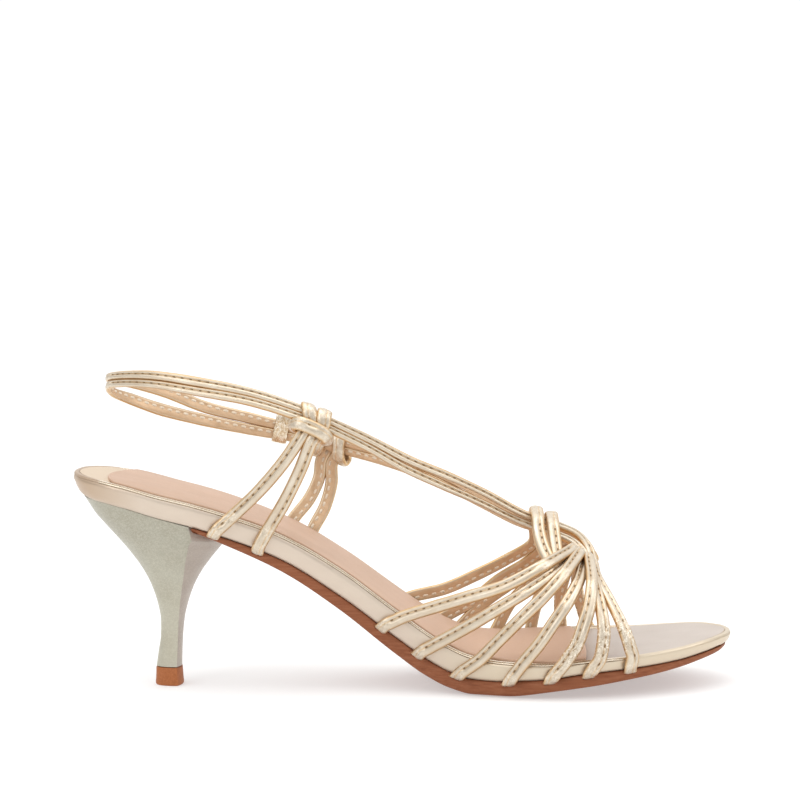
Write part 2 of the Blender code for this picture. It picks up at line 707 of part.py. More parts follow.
def upper_routes():
    """Every strap of the upper: name, rows, and which of its ends are tucked in."""
    vamp = {name: vamp_rows(side, x_foot, xs, layer) for name, side, x_foot, xs, layer in VAMP}
    layers = {row[0]: row[4] for row in VAMP}
    routes = []
    for name in ("m1", "m2"):
        end = over_ridge(vamp[name][-1][0][0] + 0.4, layers[name])
        routes.append((name, vamp[name] + end, (True, False)))
    for medial, lateral in (("m3", "l3"), ("m4", "l4"), ("m5", "l5")):
        routes.append((medial + lateral, vamp[medial] + vamp[lateral][::-1], (True, True)))
    for name in ("l1", "l2"):
        routes.append((name, vamp[name] + wrap_rows(name), (True, False)))
    for up, medial, lateral in ((1, "m7", "l7"), (-1, "m6", "l6")):
        route = tether_route(up, vamp[medial] + arch_rows(medial), vamp[lateral] + arch_rows(lateral))
        routes.append((medial + lateral, route, (True, True)))
    for name, side, place, rear_tail, front_tail in KNOTS:
        routes.append(("knot_" + name, hitch_route(side, place, rear_tail, front_tail), (True, True)))
    return routes


def pocket_routes():
    """The tucked end of every strap, for the pockets in the outsole."""
    routes = [(name, foot_rows(side, x_foot, xs[0])) for name, side, x_foot, xs, _ in VAMP]
    for name, side, _, rear, front in KNOTS:
        routes.append(("rear_" + name, foot_rows(side, rear[1], rear[0])))
        routes.append(("front_" + name, foot_rows(side, front[1], front[0])))
    return routes


# ---------------------------------------------------------------- sub-parts
SOLE_STATIONS = (-31.2, -29.4, -26.0, -20.5, -12.0, -2.0, 8.0, 19.0, 30.0, 41.0, 51.0, 60.0, 69.0, 78.0,
                 87.0, 95.0, 103.0, 112.0, 124.0, 134.0, 144.0, 154.0, 165.0, 176.0, 185.0, 192.5,
                 198.0, 201.8)


def end_bulge(x, back, front, back_bulge, front_bulge, reach):
    """Bulge of a row, fading away from the two ends of a plate."""
    bulge = back_bulge * max(0.0, 1.0 - (x - back) / reach) ** 2
    return bulge + front_bulge * max(0.0, 1.0 - (front - x) / reach) ** 2


def rim_top(x, y):
    return rim_height(x)


def seat_top(x, y):
    """Top of the footbed inside its rim, dished across."""
    half = (medial_half(x) + lateral_half(x)) / 2.0
    middle = (lateral_half(x) - medial_half(x)) / 2.0
    inside = max(0.0, 1.0 - ((y - middle) / half) ** 2)
    return rim_height(x) - SEAT_SINK - SEAT_DISH * inside


def rand_at(share):
    """Height function at a share of the footbed's depth."""
    return lambda x, y: rim_height(x) - share * rand_depth(x)


def rand_lean(x):
    """How far the footbed's lower edge stands in from its outline."""
    return RAND_LEAN + SEAT_LEAN * soft_step((20.0 - x) / 45.0)


def make_footbed():
    back = SOLE_STATIONS[0]
    front = SOLE_STATIONS[-1]
    rows = [(x, x, end_bulge(x, back, front, HEEL_BULGE, TOE_BULGE, END_REACH)) for x in SOLE_STATIONS]
    levels = (
        (seat_top, RIM_WIDE),
        (rim_top, RIM_ROUND),
        (rand_at(0.07), 0.25 * RIM_ROUND),
        (rand_at(0.22), 0.0),
        (rand_at(0.55), lambda x: 0.25 * rand_lean(x)),
        (rand_at(0.86), lambda x: 0.65 * rand_lean(x)),
        (rand_at(1.0), lambda x: rand_lean(x) + EDGE_ROUND),
    )
    return plate(rows, 4, 0.0, levels)


def make_insole():
    """The sock as an open sheet that lies over the seat; Solidify and Bevel finish it."""
    straight = [SOCK_BACK] + [x for x in SOLE_STATIONS if SOCK_BACK + 2.0 < x < SOCK_STRAIGHT]
    rows = [(x, x) for x in straight]
    for share in (0.22, 0.44, 0.64, 0.82, 1.0):
        rows.append(tuple(straight[-1] + (front - straight[-1]) * share
                          for front in (SOCK_FRONT_MEDIAL, SOCK_FRONT_LATERAL)))
    across = 4
    verts = []
    for x_medial, x_lateral in rows:
        bulge = end_bulge(x_medial, SOCK_BACK, SOCK_FRONT_MEDIAL, SOCK_BACK_BULGE, SOCK_FRONT_BULGE,
                          SOCK_REACH)
        medial = -(medial_half(x_medial) - SOCK_INSET)
        lateral = lateral_half(x_lateral) - SOCK_INSET
        for j in range(across + 1):
            share = j / across
            x = x_medial + (x_lateral - x_medial) * share + bulge * 4.0 * share * (1.0 - share)
            y = medial + (lateral - medial) * share
            verts.append((x, y, seat_top(x, y) + GAP + FACET_ROOM))
    faces = []
    for i in range(len(rows) - 1):
        for j in range(across):
            a = i * (across + 1) + j
            faces.append((a, a + across + 1, a + across + 2, a + 1))
    return verts, faces


def tread(x, y):
    """Underside of the outsole, rising a little at its edge."""
    half = (medial_half(x) + lateral_half(x)) / 2.0
    middle = (lateral_half(x) - medial_half(x)) / 2.0
    outer = soft_step((abs(y - middle) / half - 0.72) / 0.28)
    return tread_height(x) + OUTSOLE_EDGE_LIFT * outer


def outsole_top(x, y):
    return footbed_underside(x) - GAP - FACET_ROOM


def outsole_at(share):
    return lambda x, y: outsole_top(x, y) * (1.0 - share) + tread(x, y) * share


def make_outsole():
    stations = [OUTSOLE_BACK] + [x for x in SOLE_STATIONS if x > OUTSOLE_BACK + 3.0]
    stations[-1] -= OUTSOLE_INSET
    rows = [(x, x, end_bulge(x, stations[0], stations[-1], BREAST_BULGE, TOE_BULGE, BREAST_REACH))
            for x in stations]
    levels = ((outsole_top, 0.3), (outsole_at(0.25), 0.0), (outsole_at(0.8), 0.3), (tread, 1.2))
    return plate(rows, 6, OUTSOLE_INSET, levels)


def heel_ring(half, corner, squareness):
    """Outline of one section of the heel: share of its length, and half width."""
    ring = []
    for k in range(HEEL_SIDES):
        angle = 2.0 * math.pi * (k + 0.5) / HEEL_SIDES
        c = math.cos(angle)
        s = math.sin(angle)
        if c > 0.0:
            side = np.sign(s) * abs(s) ** 0.8
            along = corner + (1.0 - corner) * (1.0 - side * side)
        else:
            side = np.sign(s) * abs(s) ** squareness
            along = corner * (1.0 - abs(c) ** squareness)
        ring.append((along, half * side))
    return ring


def make_heel():
    rings = []
    back = SOLE_STATIONS[0] + HEEL_BULGE + rand_lean(SOLE_STATIONS[0]) + HEEL_INSET
    breast = OUTSOLE_BACK + BREAST_BULGE - BREAST_GAP
    half = lateral_half(0.0) - rand_lean(0.0) - HEEL_INSET
    rings.append([(back + (breast - back) * along, side, outsole_top(back + (breast - back) * along, side))
                  for along, side in heel_ring(half, HEEL[0][5], 0.8)])
    for row, (back_x, back_z, breast_x, breast_z, half, corner) in enumerate(HEEL):
        squareness = min(0.96, 0.84 + 0.04 * row)
        rings.append([(back_x + (breast_x - back_x) * along, side, back_z + (breast_z - back_z) * along)
                      for along, side in heel_ring(half, corner, squareness)])
    return loft(rings)


def make_top_piece():
    back_x, _, breast_x, _, half, corner = HEEL[-1]
    rings = []
    for height, grow in ((TIP_TOP, 0.1), (TIP_ROUND, TIP_GROW), (0.0, TIP_GROW - TIP_ROUND)):
        back = back_x - grow
        breast = breast_x + grow
        rings.append([(back + (breast - back) * along, side, height)
                      for along, side in heel_ring(half + grow, corner, 0.96)])
    return loft(rings)


def keeper_frame():
    """Where the keeper sits on the lateral pair, its facing, and the height of the strands."""
    centres = np.array([row[:3] for row in TETHER_LATERAL])
    heights = [row[3] + row[4] for row in TETHER_LATERAL]
    after = int(np.searchsorted(centres[:, 0], KEEPER_AT))
    before = after - 1
    share = (KEEPER_AT - centres[before][0]) / (centres[after][0] - centres[before][0])
    middle = centres[before] + (centres[after] - centres[before]) * share
    heading = unit(centres[after] - centres[before])
    up = unit(np.cross(heading, away_from_core(middle)))
    out = unit(np.cross(up, heading))
    height = heights[before] + (heights[after] - heights[before]) * share
    return middle + up * KEEPER_RISE, (out, up, heading), height


def make_keeper():
    """An open band round two strands, about its own Z axis; Solidify gives it its thickness."""
    _, _, height = keeper_frame()
    tall = height / 2.0 + KEEPER_RISE + GAP + KEEPER_EASE
    deep = STRAP_THICK / 2.0 + GAP + KEEPER_EASE
    verts = []
    for end in (-0.5, 0.5):
        for k in range(KEEPER_SIDES):
            angle = 2.0 * math.pi * (k + 0.5) / KEEPER_SIDES
            c = math.cos(angle)
            s = math.sin(angle)
            verts.append((deep * np.sign(c) * abs(c) ** 0.35, tall * np.sign(s) * abs(s) ** 0.8,
                          end * KEEPER_WIDE))
    faces = []
    for k in range(KEEPER_SIDES):
        n = (k + 1) % KEEPER_SIDES
        faces.append((k, n, KEEPER_SIDES + n, KEEPER_SIDES + k))
    return verts, faces


def stand_in_frame(obj, place, axes):
    """Place an object that was modelled about its own origin."""
    turn = Matrix([[float(axis[row]) for axis in axes] for row in range(3)])
    obj.matrix_world = Matrix.Translation(Vector([MM * float(c) for c in place])) @ turn.to_4x4()


def thicken(obj, thickness, offset):
    modifier = obj.modifiers.new("thickness", "SOLIDIFY")
    modifier.thickness = MM * thickness
    modifier.offset = offset
    modifier.use_even_offset = True


def round_edges(obj, width, angle):
    modifier = obj.modifiers.new("round", "BEVEL")
    modifier.width = MM * width
    modifier.segments = 1
    modifier.limit_method = "ANGLE"
    modifier.angle_limit = math.radians(angle)


def boolean(obj, operation, operand):
    """Apply a Boolean with every object of a collection."""
    modifier = obj.modifiers.new(operation.lower(), "BOOLEAN")
    modifier.operation = operation
    modifier.solver = "EXACT"
    modifier.operand_type = "COLLECTION"
    modifier.collection = operand


def keep_largest_shell(obj):
    """Apply the modifiers and drop the slivers left between crossing straps."""
    bpy.context.view_layer.update()
    joined = bpy.data.meshes.new_from_object(obj.evaluated_get(bpy.context.evaluated_depsgraph_get()))
    shape = bmesh.new()
    shape.from_mesh(joined)
    shape.verts.ensure_lookup_table()
    unseen = set(range(len(shape.verts)))
    largest = []
    while unseen:
        shell = [unseen.pop()]
        front = list(shell)
        while front:
            for edge in shape.verts[front.pop()].link_edges:
                for vert in edge.verts:
                    if vert.index in unseen:
                        unseen.discard(vert.index)
                        shell.append(vert.index)
                        front.append(vert.index)
        if len(shell) > len(largest):
            largest = shell
    kept = set(largest)
    spare = [vert for vert in shape.verts if vert.index not in kept]
    bmesh.ops.delete(shape, geom=spare, context="VERTS")
    shape.to_mesh(joined)
    shape.free()
    obj.modifiers.clear()
    obj.data = joined


def make_material(name):
    colour, rough, metal = COLOURS[name]
    material = bpy.data.materials.new(name)
    material.use_nodes = True
    shader = material.node_tree.nodes["Principled BSDF"]
    shader.inputs["Base Color"].default_value = (*colour, 1.0)
    shader.inputs["Roughness"].default_value = rough
    shader.inputs["Metallic"].default_value = metal
    return material


def new_collection(name):
    collection = bpy.data.collections.new(name)
    bpy.context.scene.collection.children.link(collection)
    return collection


def hide_cutter(obj):
    obj.hide_render = True
    obj.display_type = "WIRE"


def main():
    for obj in list(bpy.data.objects):
        bpy.data.objects.remove(obj, do_unlink=True)
    shoe = new_collection("strappy_heeled_sandal")
    cutters = new_collection("cutters")
    strap_pieces = new_collection("strap_pieces")
    materials = {name: make_material(name) for name in COLOURS}
    stand = bpy.data.objects.new("sandal", None)
    shoe.objects.link(stand)

    made = {}
    for name, maker, material in (
        ("footbed", make_footbed, "gold"),
        ("insole", make_insole, "sock"),
        ("outsole", make_outsole, "brown"),
        ("heel", make_heel, "heel"),
        ("top_piece", make_top_piece, "tip"),
        ("keeper", make_keeper, "gold"),
    ):
        verts, faces = maker()
        made[name] = new_object(name, verts, faces, materials[material], shoe)
    thicken(made["insole"], SOCK_THICK, 1.0)
    round_edges(made["insole"], SOCK_ROUND, 60.0)
    thicken(made["keeper"], KEEPER_THICK, 1.0)
    place, axes, _ = keeper_frame()
    stand_in_frame(made["keeper"], place, axes)

    upper = None
    for name, rows, tucks in upper_routes():
        verts, faces = strap(rows, tucks)
        if upper is None:
            upper = new_object("upper", verts, faces, materials["gold"], shoe)
        else:
            hide_cutter(new_object("strap_" + name, verts, faces, materials["gold"], strap_pieces))
    boolean(upper, "UNION", strap_pieces)
    keep_largest_shell(upper)
    made["upper"] = upper

    for name, rows in pocket_routes():
        verts, faces = strap(rows, (True, False), POCKET_GROW)
        hide_cutter(new_object("pocket_" + name, verts, faces, None, cutters))
    boolean(made["outsole"], "DIFFERENCE", cutters)

    for obj in made.values():
        smooth(obj)
        obj.parent = stand


main()
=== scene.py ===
"""Looks for the strappy kitten-heel sandal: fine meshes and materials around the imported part.

Every table below is in millimetres in the part's own frame: +X from the heel to the toe,
+Y to the shoe's outer side, +Z up, origin under the heel tip. MM turns them into metres.
"""

import json
import math

import bmesh
import bpy
import numpy as np
from mathutils import Matrix, Vector, noise

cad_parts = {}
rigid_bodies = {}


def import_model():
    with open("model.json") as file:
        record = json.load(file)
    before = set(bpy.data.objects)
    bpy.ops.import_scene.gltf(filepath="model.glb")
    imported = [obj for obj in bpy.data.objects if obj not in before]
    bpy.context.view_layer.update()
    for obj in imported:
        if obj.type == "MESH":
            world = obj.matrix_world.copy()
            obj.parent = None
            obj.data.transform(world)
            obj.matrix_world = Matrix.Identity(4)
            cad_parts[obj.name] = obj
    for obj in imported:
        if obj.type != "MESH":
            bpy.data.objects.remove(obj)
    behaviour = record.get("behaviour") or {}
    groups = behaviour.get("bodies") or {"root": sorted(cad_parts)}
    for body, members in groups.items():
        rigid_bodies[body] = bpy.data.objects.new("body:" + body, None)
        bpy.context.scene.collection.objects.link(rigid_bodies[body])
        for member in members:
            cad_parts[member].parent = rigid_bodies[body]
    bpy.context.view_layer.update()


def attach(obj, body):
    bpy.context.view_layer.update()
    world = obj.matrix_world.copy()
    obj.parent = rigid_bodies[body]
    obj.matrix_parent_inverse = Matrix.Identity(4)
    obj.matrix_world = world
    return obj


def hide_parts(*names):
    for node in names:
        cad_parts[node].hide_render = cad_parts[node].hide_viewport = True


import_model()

MM = 0.001
GAP = 0.3

# ---- camera
CAMERA_AZIMUTH = 3.5
CAMERA_ELEVATION = 4.0
CAMERA_ROLL = -1.1
CAMERA_DISTANCE = 0.9
CAMERA_TARGET = (0.0867071538, 0.0, 0.10311889155)
CAMERA_LENS = 111.78
CAMERA_SENSOR = 36.0
CAMERA_CLIP = (0.01, 60.0)

# ---- the last
# x, half width on the medial and on the lateral side, height of the rim, depth of the rand, and
# height of the tread
SECTIONS = (
    (-31.2, 10, 10.5, 79.7, 8.4, 72), (-28.5, 16.4, 16.2, 79.3, 8.4, 70),
    (-23, 22.4, 21.9, 78.4, 8.4, 68), (-12, 27, 26, 76.1, 8.4, 65.5),
    (0, 28, 27.5, 72.6, 8.4, 62.5), (14, 27.1, 27, 68.8, 8.5, 58),
    (25, 25.8, 26.2, 65.2, 8.7, 53.2), (45, 22.6, 24.7, 57, 9.2, 42.9),
    (65, 20.6, 24.5, 44.8, 10.2, 28.8), (85, 22, 25.5, 29.9, 10.3, 12.8),
    (95, 24.6, 26.8, 22.8, 10, 5.9), (104, 27.7, 28.8, 17.6, 9.4, 1.7),
    (112, 31, 31.4, 14.7, 8.6, 0), (124, 35.6, 36.6, 13.2, 7.2, 0), (138, 39.2, 40, 13, 5.9, 1.7),
    (152, 39.6, 37.4, 14.1, 5, 3.6), (170, 36, 31.2, 15.2, 4.6, 6.2),
    (184, 29.6, 27.2, 16.5, 4.6, 8.5), (196, 21.2, 18, 18.2, 4.2, 11.5),
    (201.8, 13.6, 8.6, 18.9, 4, 13.2),
)
# x and height of the ridge over the foot
RIDGE = (
    (60, 100), (80, 88), (100, 76), (120, 63.5), (134, 55.5), (143, 51),
    (150, 47.5), (156, 43.5), (166, 35), (180, 27), (200, 21),
)
LAST_SQUARENESS = 0.72
LAST_FULLNESS = 0.9
NORMAL_SHARE = 0.012      # step round the foot form over which its facing is read
# the middle line of the leg and the foot
FOOT_CORE = np.array(((22, 0, 150), (22, 0, 104), (34, 0, 92), (60, 0, 74),
                      (100, 0, 46), (135, 0, 24), (165, 0, 20), (200, 0, 20)))

# ---- footbed, sock, outsole
HEEL_BULGE = -1.3
TOE_BULGE = 2.7
END_REACH = 9.0
RAND_LEAN = 1.3
SEAT_LEAN = 1.9
SEAT_LEAN_FROM = 20.0
SEAT_LEAN_OVER = 45.0
LEAN_DEPTHS = (0.22, 0.55, 0.86, 1.0)       # shares of the rand's depth, and of its lean there
LEAN_SHARES = (0.0, 0.25, 0.65, 1.0)
EDGE_ROUND = 0.7
RIM_WIDE = 2.1
SEAT_SINK = 0.9
SEAT_DISH = 0.5
SOCK_BACK = -14.0
SOCK_FRONT_MEDIAL = 152.0
SOCK_FRONT_LATERAL = 147.5
SOCK_STRAIGHT = 104.0
SOCK_BACK_BULGE = -6.0
SOCK_FRONT_BULGE = 2.2
SOCK_REACH = 24.0
SOCK_INSET = 2.7
SOCK_THICK = 1.2
# thickness and extra inset of each ring of the sock's edge
SOCK_LEVELS = (
    (SOCK_THICK, 0.55), (SOCK_THICK - 0.05, 0.28), (SOCK_THICK - 0.20, 0.08), (SOCK_THICK - 0.42, 0),
    (0.25, 0), (0, 0.15),
)
SOCK_CROWN = 0.30
SOCK_LINE = 0.16          # pressed line beside the edge
SOCK_PAD = 0.35           # padding under the heel, and how far that reaches
SOCK_PAD_AT = 2.0
SOCK_PAD_REACH = 22.0
FACET_ROOM = 0.1
SEAM_ROOM = 0.25          # the glued seams under the footbed stay a thin line
OUTSOLE_BACK = 13.0
BREAST_BULGE = 9.5
BREAST_REACH = 26.0
OUTSOLE_INSET = 1.7
OUTSOLE_EDGE_LIFT = 0.7
OUTSOLE_FLAT = 0.72       # share of the width within which its underside is flat
# share of the outsole's depth and extra inset of each ring of its edge
OUTSOLE_LEVELS = (
    (0, 0.55), (0.04, 0.22), (0.12, 0.05), (0.28, 0), (0.50, 0.05), (0.72, 0.2), (0.88, 0.5),
    (0.97, 0.9), (1, 1.4),
)
PLATE_STEP = 1.5
CLOSE_STATIONS = (0.0, 0.35, 0.8, 1.4)      # distances from a plate's ends of its closer stations

# ---- heel
# x and height at the back, x and height at the breast, half width, and where the corner is
HEEL = (
    (-24.7, 63.6, 21.8, 53.3, 22.6, 0.805), (-19.8, 57.8, 20.2, 50.9, 20.2, 0.77),
    (-13.6, 50.3, 16.4, 46.4, 16.2, 0.765), (-8.6, 43, 12.4, 41, 12.6, 0.79),
    (-5.5, 36.6, 9.5, 35.6, 9.9, 0.815), (-3.5, 30, 7.4, 29.8, 7.7, 0.835),
    (-2.6, 24, 6, 24, 6.2, 0.86), (-2.8, 18, 5.3, 18, 5.4, 0.87), (-3.8, 12, 4.9, 12, 5.1, 0.88),
    (-4.6, 7, 4.7, 7, 5.3, 0.88),
)
HEEL_SIDES = 96
HEEL_RINGS = 72
HEEL_BEAD = 0.16          # ridge along the corner of the breast
HEEL_INSET = 0.25
BREAST_GAP = 0.6
TIP_TOP = HEEL[-1][1] - GAP
TIP_GROW = 0.5
# height and growth of each ring of the heel tip
TIP_LEVELS = (
    (TIP_TOP, -0.2), (TIP_TOP - 0.12, 0.06), (TIP_TOP - 0.4, 0.16), (4.2, 0.24), (2.2, 0.36),
    (1.1, TIP_GROW), (0.45, TIP_GROW - 0.06), (0.15, TIP_GROW - 0.22), (0, TIP_GROW - 0.6),
)

# ---- straps
STRAP_WIDE = 4.7
STRAP_THICK = 2.2
SPARE = 0.2
STRAP_OUT = GAP + STRAP_THICK / 2.0 + SPARE
TUCK_THICK = 1.2
TUCK_LENGTH = 7.5
TUCK_RAMP = 3.0
# share of the way up the rand, distance outside the outline, and which way the strap faces
TUCK_PATH = (
    (-0.16, -6.6, "under"), (-0.10, -3.6, "under"), (-0.03, -1.1, "under"), (0.06, 0.35, "round"),
    (0.20, STRAP_OUT - 0.45, "side"), (0.60, STRAP_OUT - 0.1, "side"), (1.00, STRAP_OUT, "side"),
)
# share round the foot form, lift of an upper layer, width, and turn outwards
VAMP_STAGES = (
    (0, 0, 4.7, 0), (0.03, 0, 4.7, 0), (0.08, 0, 4.7, 0), (0.15, 0.5, 4.7, 0), (0.25, 2, 4.5, 0.3),
    (0.36, 2.3, 4.3, 0.7), (0.43, 2.4, 4.1, 1), (0.48, -1.7, 3.7, 0.9),
)
# name, side, x of the foot, x at each stage, and layer
VAMP = (
    ("m1", -1, 79.5, (88, 98, 110, 125, 137, 145, 148, 149.3), 1),
    ("m2", -1, 92.5, (100.8, 110.5, 121, 131.5, 140.8, 146.5, 148.8, 150), 0),
    ("m3", -1, 106.5, (115.3, 123, 130.3, 137.6, 144.6, 148.6, 150, 150.8), 1),
    ("m4", -1, 125, (130, 136.2, 141, 145.8, 149.8, 151.6, 152.3, 152.7), 0),
    ("m5", -1, 139.5, (144.5, 149, 151.3, 153.3, 153.9, 153.2, 152.3, 151.6), 1),
    ("m6", -1, 153, (156.7, 158, 158.5, 158, 156.5, 154.6, None, None), 0),
    ("m7", -1, 167.5, (168.4, 167.5, 166.4, 164.6, 161, 156.6, None, None), 0),
    ("l1", 1, 79, (88.5, 100.3, 112, 124.3, 133.5, None, None, None), 0),
    ("l2", 1, 92, (100.5, 111, 120, 130.5, 137.5, None, None, None), 0),
    ("l3", 1, 101, (107, 115, 125.3, 134, 142, 147, 149.1, 150.1), 1),
    ("l4", 1, 115, (119.5, 124.2, 131, 138.5, 145, 149, 150.6, 151.6), 0),
    ("l5", 1, 131, (132.4, 134.2, 137.3, 141.5, 146.5, 150, 151.5, 152.4), 1),
    ("l6", 1, 144, (143.8, 143.5, 144, 145.7, 148.7, 151.5, None, None), 0),
    ("l7", 1, 156.5, (153.8, 152, 150.4, 150.2, 151.5, 153.8, None, None), 0),
)
RIDGE_END = (0.45, 0.40)  # shares at which the last rows of m1 and m2 lie past the ridge
RIDGE_END_STEP = 0.4
POCKET_GROW = 0.06
POCKET_SECTION = np.array(((-0.5, 0.0), (-0.34, 0.5), (0.34, 0.5), (0.5, 0.0), (0.34, -0.5), (-0.34, -0.5)))
WRAPS = {
    "l1": ((134.6, 19, 53.6), (134.6, 12.4, 58), (134.9, 7, 61.6), (135.4, 0, 62.9),
           (135.9, -6.4, 60.8), (136.2, -11.8, 56.6), (137.6, -17.4, 51.4), (140.6, -22.8, 46),
           (144.6, -26.6, 42)),
    "l2": ((140.2, 18.6, 50.8), (140.4, 12.4, 55.6), (140.5, 7, 59.5), (140.8, 0, 60.9),
           (141.2, -6.4, 58.8), (141.7, -11.6, 54.6), (142.4, -17.2, 49.6), (143.4, -22.6, 45),
           (144.8, -27, 40.6)),
}
BUNDLE = (1.0, 50.0)      # y and z of the bundle that the wraps lie round
ARCH = {
    "m7": ((155.4, -9, 44.6), (153.8, -3.6, 49.5), (150, -1.6, 53.8), (143.2, -1.2, 57)),
    "m6": ((153.8, -14.6, 43.4), (152.6, -8.6, 47), (149, -5.6, 51), (142.4, -4.6, 54.2)),
    "l7": ((156, 9, 43.6), (153.6, 5.2, 48.2), (149.2, 4, 52.4), (142.6, 3.8, 56.2)),
    "l6": ((153.4, 15.4, 42.6), (151.4, 11, 46.6), (147.6, 9, 50.2), (141.8, 8.2, 53.6)),
}
ARCH_TURNS = ((0.2, 4), (0.3, 3.7), (0.5, 3.4), (0.8, 3.1))
# from here towards the toe the two strands stand one above the other
UPRIGHT_FROM = 50.0
UPRIGHT_OVER = 45.0
# middle of the pair of strands, distance between them, and their width
TETHER_MEDIAL = (
    (131, -3.4, 59.8, 3, 2.8), (115.5, -9.2, 68.6, 3.7, 2.9), (103.5, -15.6, 75, 3.9, 3.1),
    (90, -21.6, 81.9, 3.3, 3.2), (77, -26.2, 89.7, 2.8, 3), (64.5, -29.2, 96.2, 2.8, 3),
    (54, -30, 100.9, 3, 3.2), (36, -28.6, 106.9, 3.1, 3.4), (15.5, -25.4, 110.9, 3.4, 3.5),
    (0, -20.6, 113.1, 3.2, 3.2), (-12, -13.4, 113.1, 2.9, 2.9), (-18.6, -5, 111.9, 3, 2.8),
)
TETHER_LATERAL = (
    (-19, 5, 109.4, 4.4, 3.4), (-13.4, 13.4, 107, 6.3, 4.4), (-3, 20, 102.8, 7, 4.7),
    (12, 25.4, 97.2, 4.9, 4.6), (28, 28.4, 93.1, 4.2, 4.1), (43, 29.6, 89.6, 3.4, 3.6),
    (54, 29.6, 86.7, 3.2, 3.4), (66, 28.6, 83.4, 3.1, 3.3), (79, 25.8, 79.9, 3.1, 3.2),
    (96, 20, 74.1, 3, 3.1), (115, 12, 65.5, 3, 3), (131, 6.2, 57.9, 2.9, 2.8),
)
TETHER = TETHER_MEDIAL + TETHER_LATERAL
# along, out and up from the knot's place, width, and turn in degrees
HITCH = (
    (-2, 2.6, -8, 4.7, 0), (-1.4, 2.6, -4.6, 4.8, 0), (-0.6, 2.7, -1.4, 5, 0), (-2, 2.4, 2, 5.3, 0),
    (-3.4, 0, 3.9, 5.4, 0), (-3.4, -2.2, 2.6, 5, 0), (-3.5, -2.8, -0.6, 4.7, 0),
    (-4.3, -2.4, -4.2, 4.6, 0), (-5.4, 0, -5.8, 4.2, 0), (-6.1, 2.8, -4.6, 4.5, 60),
    (-4, 5, -3.3, 4.9, 25), (0.6, 5.6, -3.2, 5, 0), (5.6, 5, -3.9, 4.9, -25),
    (7.6, 2.8, -5.2, 4.5, -60), (6.6, 0, -6.6, 4.2, 0), (4.8, -2.4, -4.8, 4.6, 0),
    (3.6, -2.8, -0.6, 4.7, 0), (3, -2.2, 2.6, 5, 0), (2.9, 0, 3.9, 5.4, 0), (3.4, 2.4, 1.8, 5.3, 0),
    (4.1, 2.7, -1.6, 5, 0), (3, 2.6, -4.8, 4.7, 0), (2.2, 2.6, -8.2, 4.7, 0),
)
# name, side, place; x at the top, x of the foot and bow of the rear and of the front tail
KNOTS = (
    ("medial", -1, (58, -29.8, 99), (27.7, 20.8, 2), (40.3, 36.2, 1.2)),
    ("lateral", 1, (58.4, 29.4, 85.5), (44.3, 40.4, 2.6), (51.6, 48.6, 2.2)),
)
TAIL_SHARES = (0.33, 0.7)
TAIL_BOW = 1.6
KEEPER_AT = 40.0
KEEPER_WIDE = 5.6
KEEPER_RISE = 0.9
KEEPER_THICK = 0.6
KEEPER_EASE = 0.15
KEEPER_SIDES = 64
KEEPER_STEPS = 18

STRAP_STEP = 0.7          # distance between two sections of a strap
CURVE_PIECES = 40         # pieces of the curve between two rows, before it is spaced evenly
NORMAL_REACH = 3.0        # how far along a strap its facing is smoothed
# Outline of the strap's section: across (share of the width), out (share of half the
# thickness). A small flange carries the stitches in a groove beside the main roll.
STRAP_SECTION = (
    (-0.500, -0.18), (-0.485, 0.16), (-0.430, 0.46), (-0.350, 0.60), (-0.270, 0.61), (-0.205, 0.52),
    (-0.165, 0.38), (-0.120, 0.36), (-0.080, 0.50), (-0.020, 0.74), (0.060, 0.92), (0.150, 1.00),
    (0.250, 0.98), (0.340, 0.84), (0.415, 0.60), (0.470, 0.26), (0.500, -0.14), (0.480, -0.55),
    (0.430, -0.84), (0.340, -0.96), (0.200, -0.98), (0.040, -0.94), (-0.060, -0.88),
    (-0.140, -0.80), (-0.220, -0.88), (-0.340, -0.96), (-0.430, -0.84), (-0.480, -0.55),
)
GROOVE_AT = -0.142        # share of the width at which the stitches run
GROOVE_WIDE = 0.07
GROOVE_OUT = 0.36
OUTER_FROM = -0.2         # the section's outer face lies above this
STITCH_PITCH = 3.2
STITCH_SIZE = (1.25, 0.40)          # length and width of a stitch on the outer face
INNER_STITCH_SIZE = (2.4, 1.0)
STITCH_SIDES = 6
STITCH_HALF = 0.17        # half the thickness of a stitch
# along a stitch: share of its length, of its girth, and height over the strap
STITCH_PROFILE = (
    (-0.5, 0.30, -0.26), (-0.36, 0.85, 0.02), (-0.12, 1, 0.14), (0.12, 1, 0.14),
    (0.36, 0.85, 0.02), (0.5, 0.30, -0.26),
)
OTHER_HAND = ("m7l7", "m6l6")       # straps whose stitched side is the other one
BEND_REACH = 2.4          # smoothing of a strap's bend, and the curvatures from which it shows
BEND_FROM = 0.012
BEND_OVER = 0.05
FOLD_FROM = 0.55          # a bend sharper than this counts as a fold
# share of a fold in the crease weight, which drives crease relief and where glints and crease shade are
# painted
FOLD_CREASE_GLINT = 0.35
END_SHARE = 0.86          # a strap's rounded end: size of its last ring, and how far out that is
END_OUT = 0.25
DOME_SHARE = 0.75         # how far a bent strap loses its groove
SWAY = (0.07, 0.03)       # how far a strap's width wanders, slowly and quickly
BROAD_RELIEF = (0.03, 0.09)         # height of its relief when flat, and what a bend adds
SMALL_RELIEF = (0.012, 0.10)        # the same for the small relief, and what the crease weight adds
GROOVE_DEPTH = (0.10, 0.12)         # between two stitches, and what a stitch adds
# creases above a strap's foot, which carry crease relief, painted glints and painted crease shade:
# distance, reach, and where along the shoe they start
CREASE_GLINT_AT = 21.0
CREASE_GLINT_REACH = 6.5
CREASE_GLINT_FROM = 122.0
CREASE_GLINT_OVER = 14.0

# ---- rand
STRAP_FEET = tuple((row[1], row[2], row[3][0]) for row in VAMP) + tuple(
    (side, x_foot, x_top) for _, side, _, rear, front in KNOTS for x_top, x_foot, _ in (rear, front))
FAR = 60.0                # farther than the next strap foot
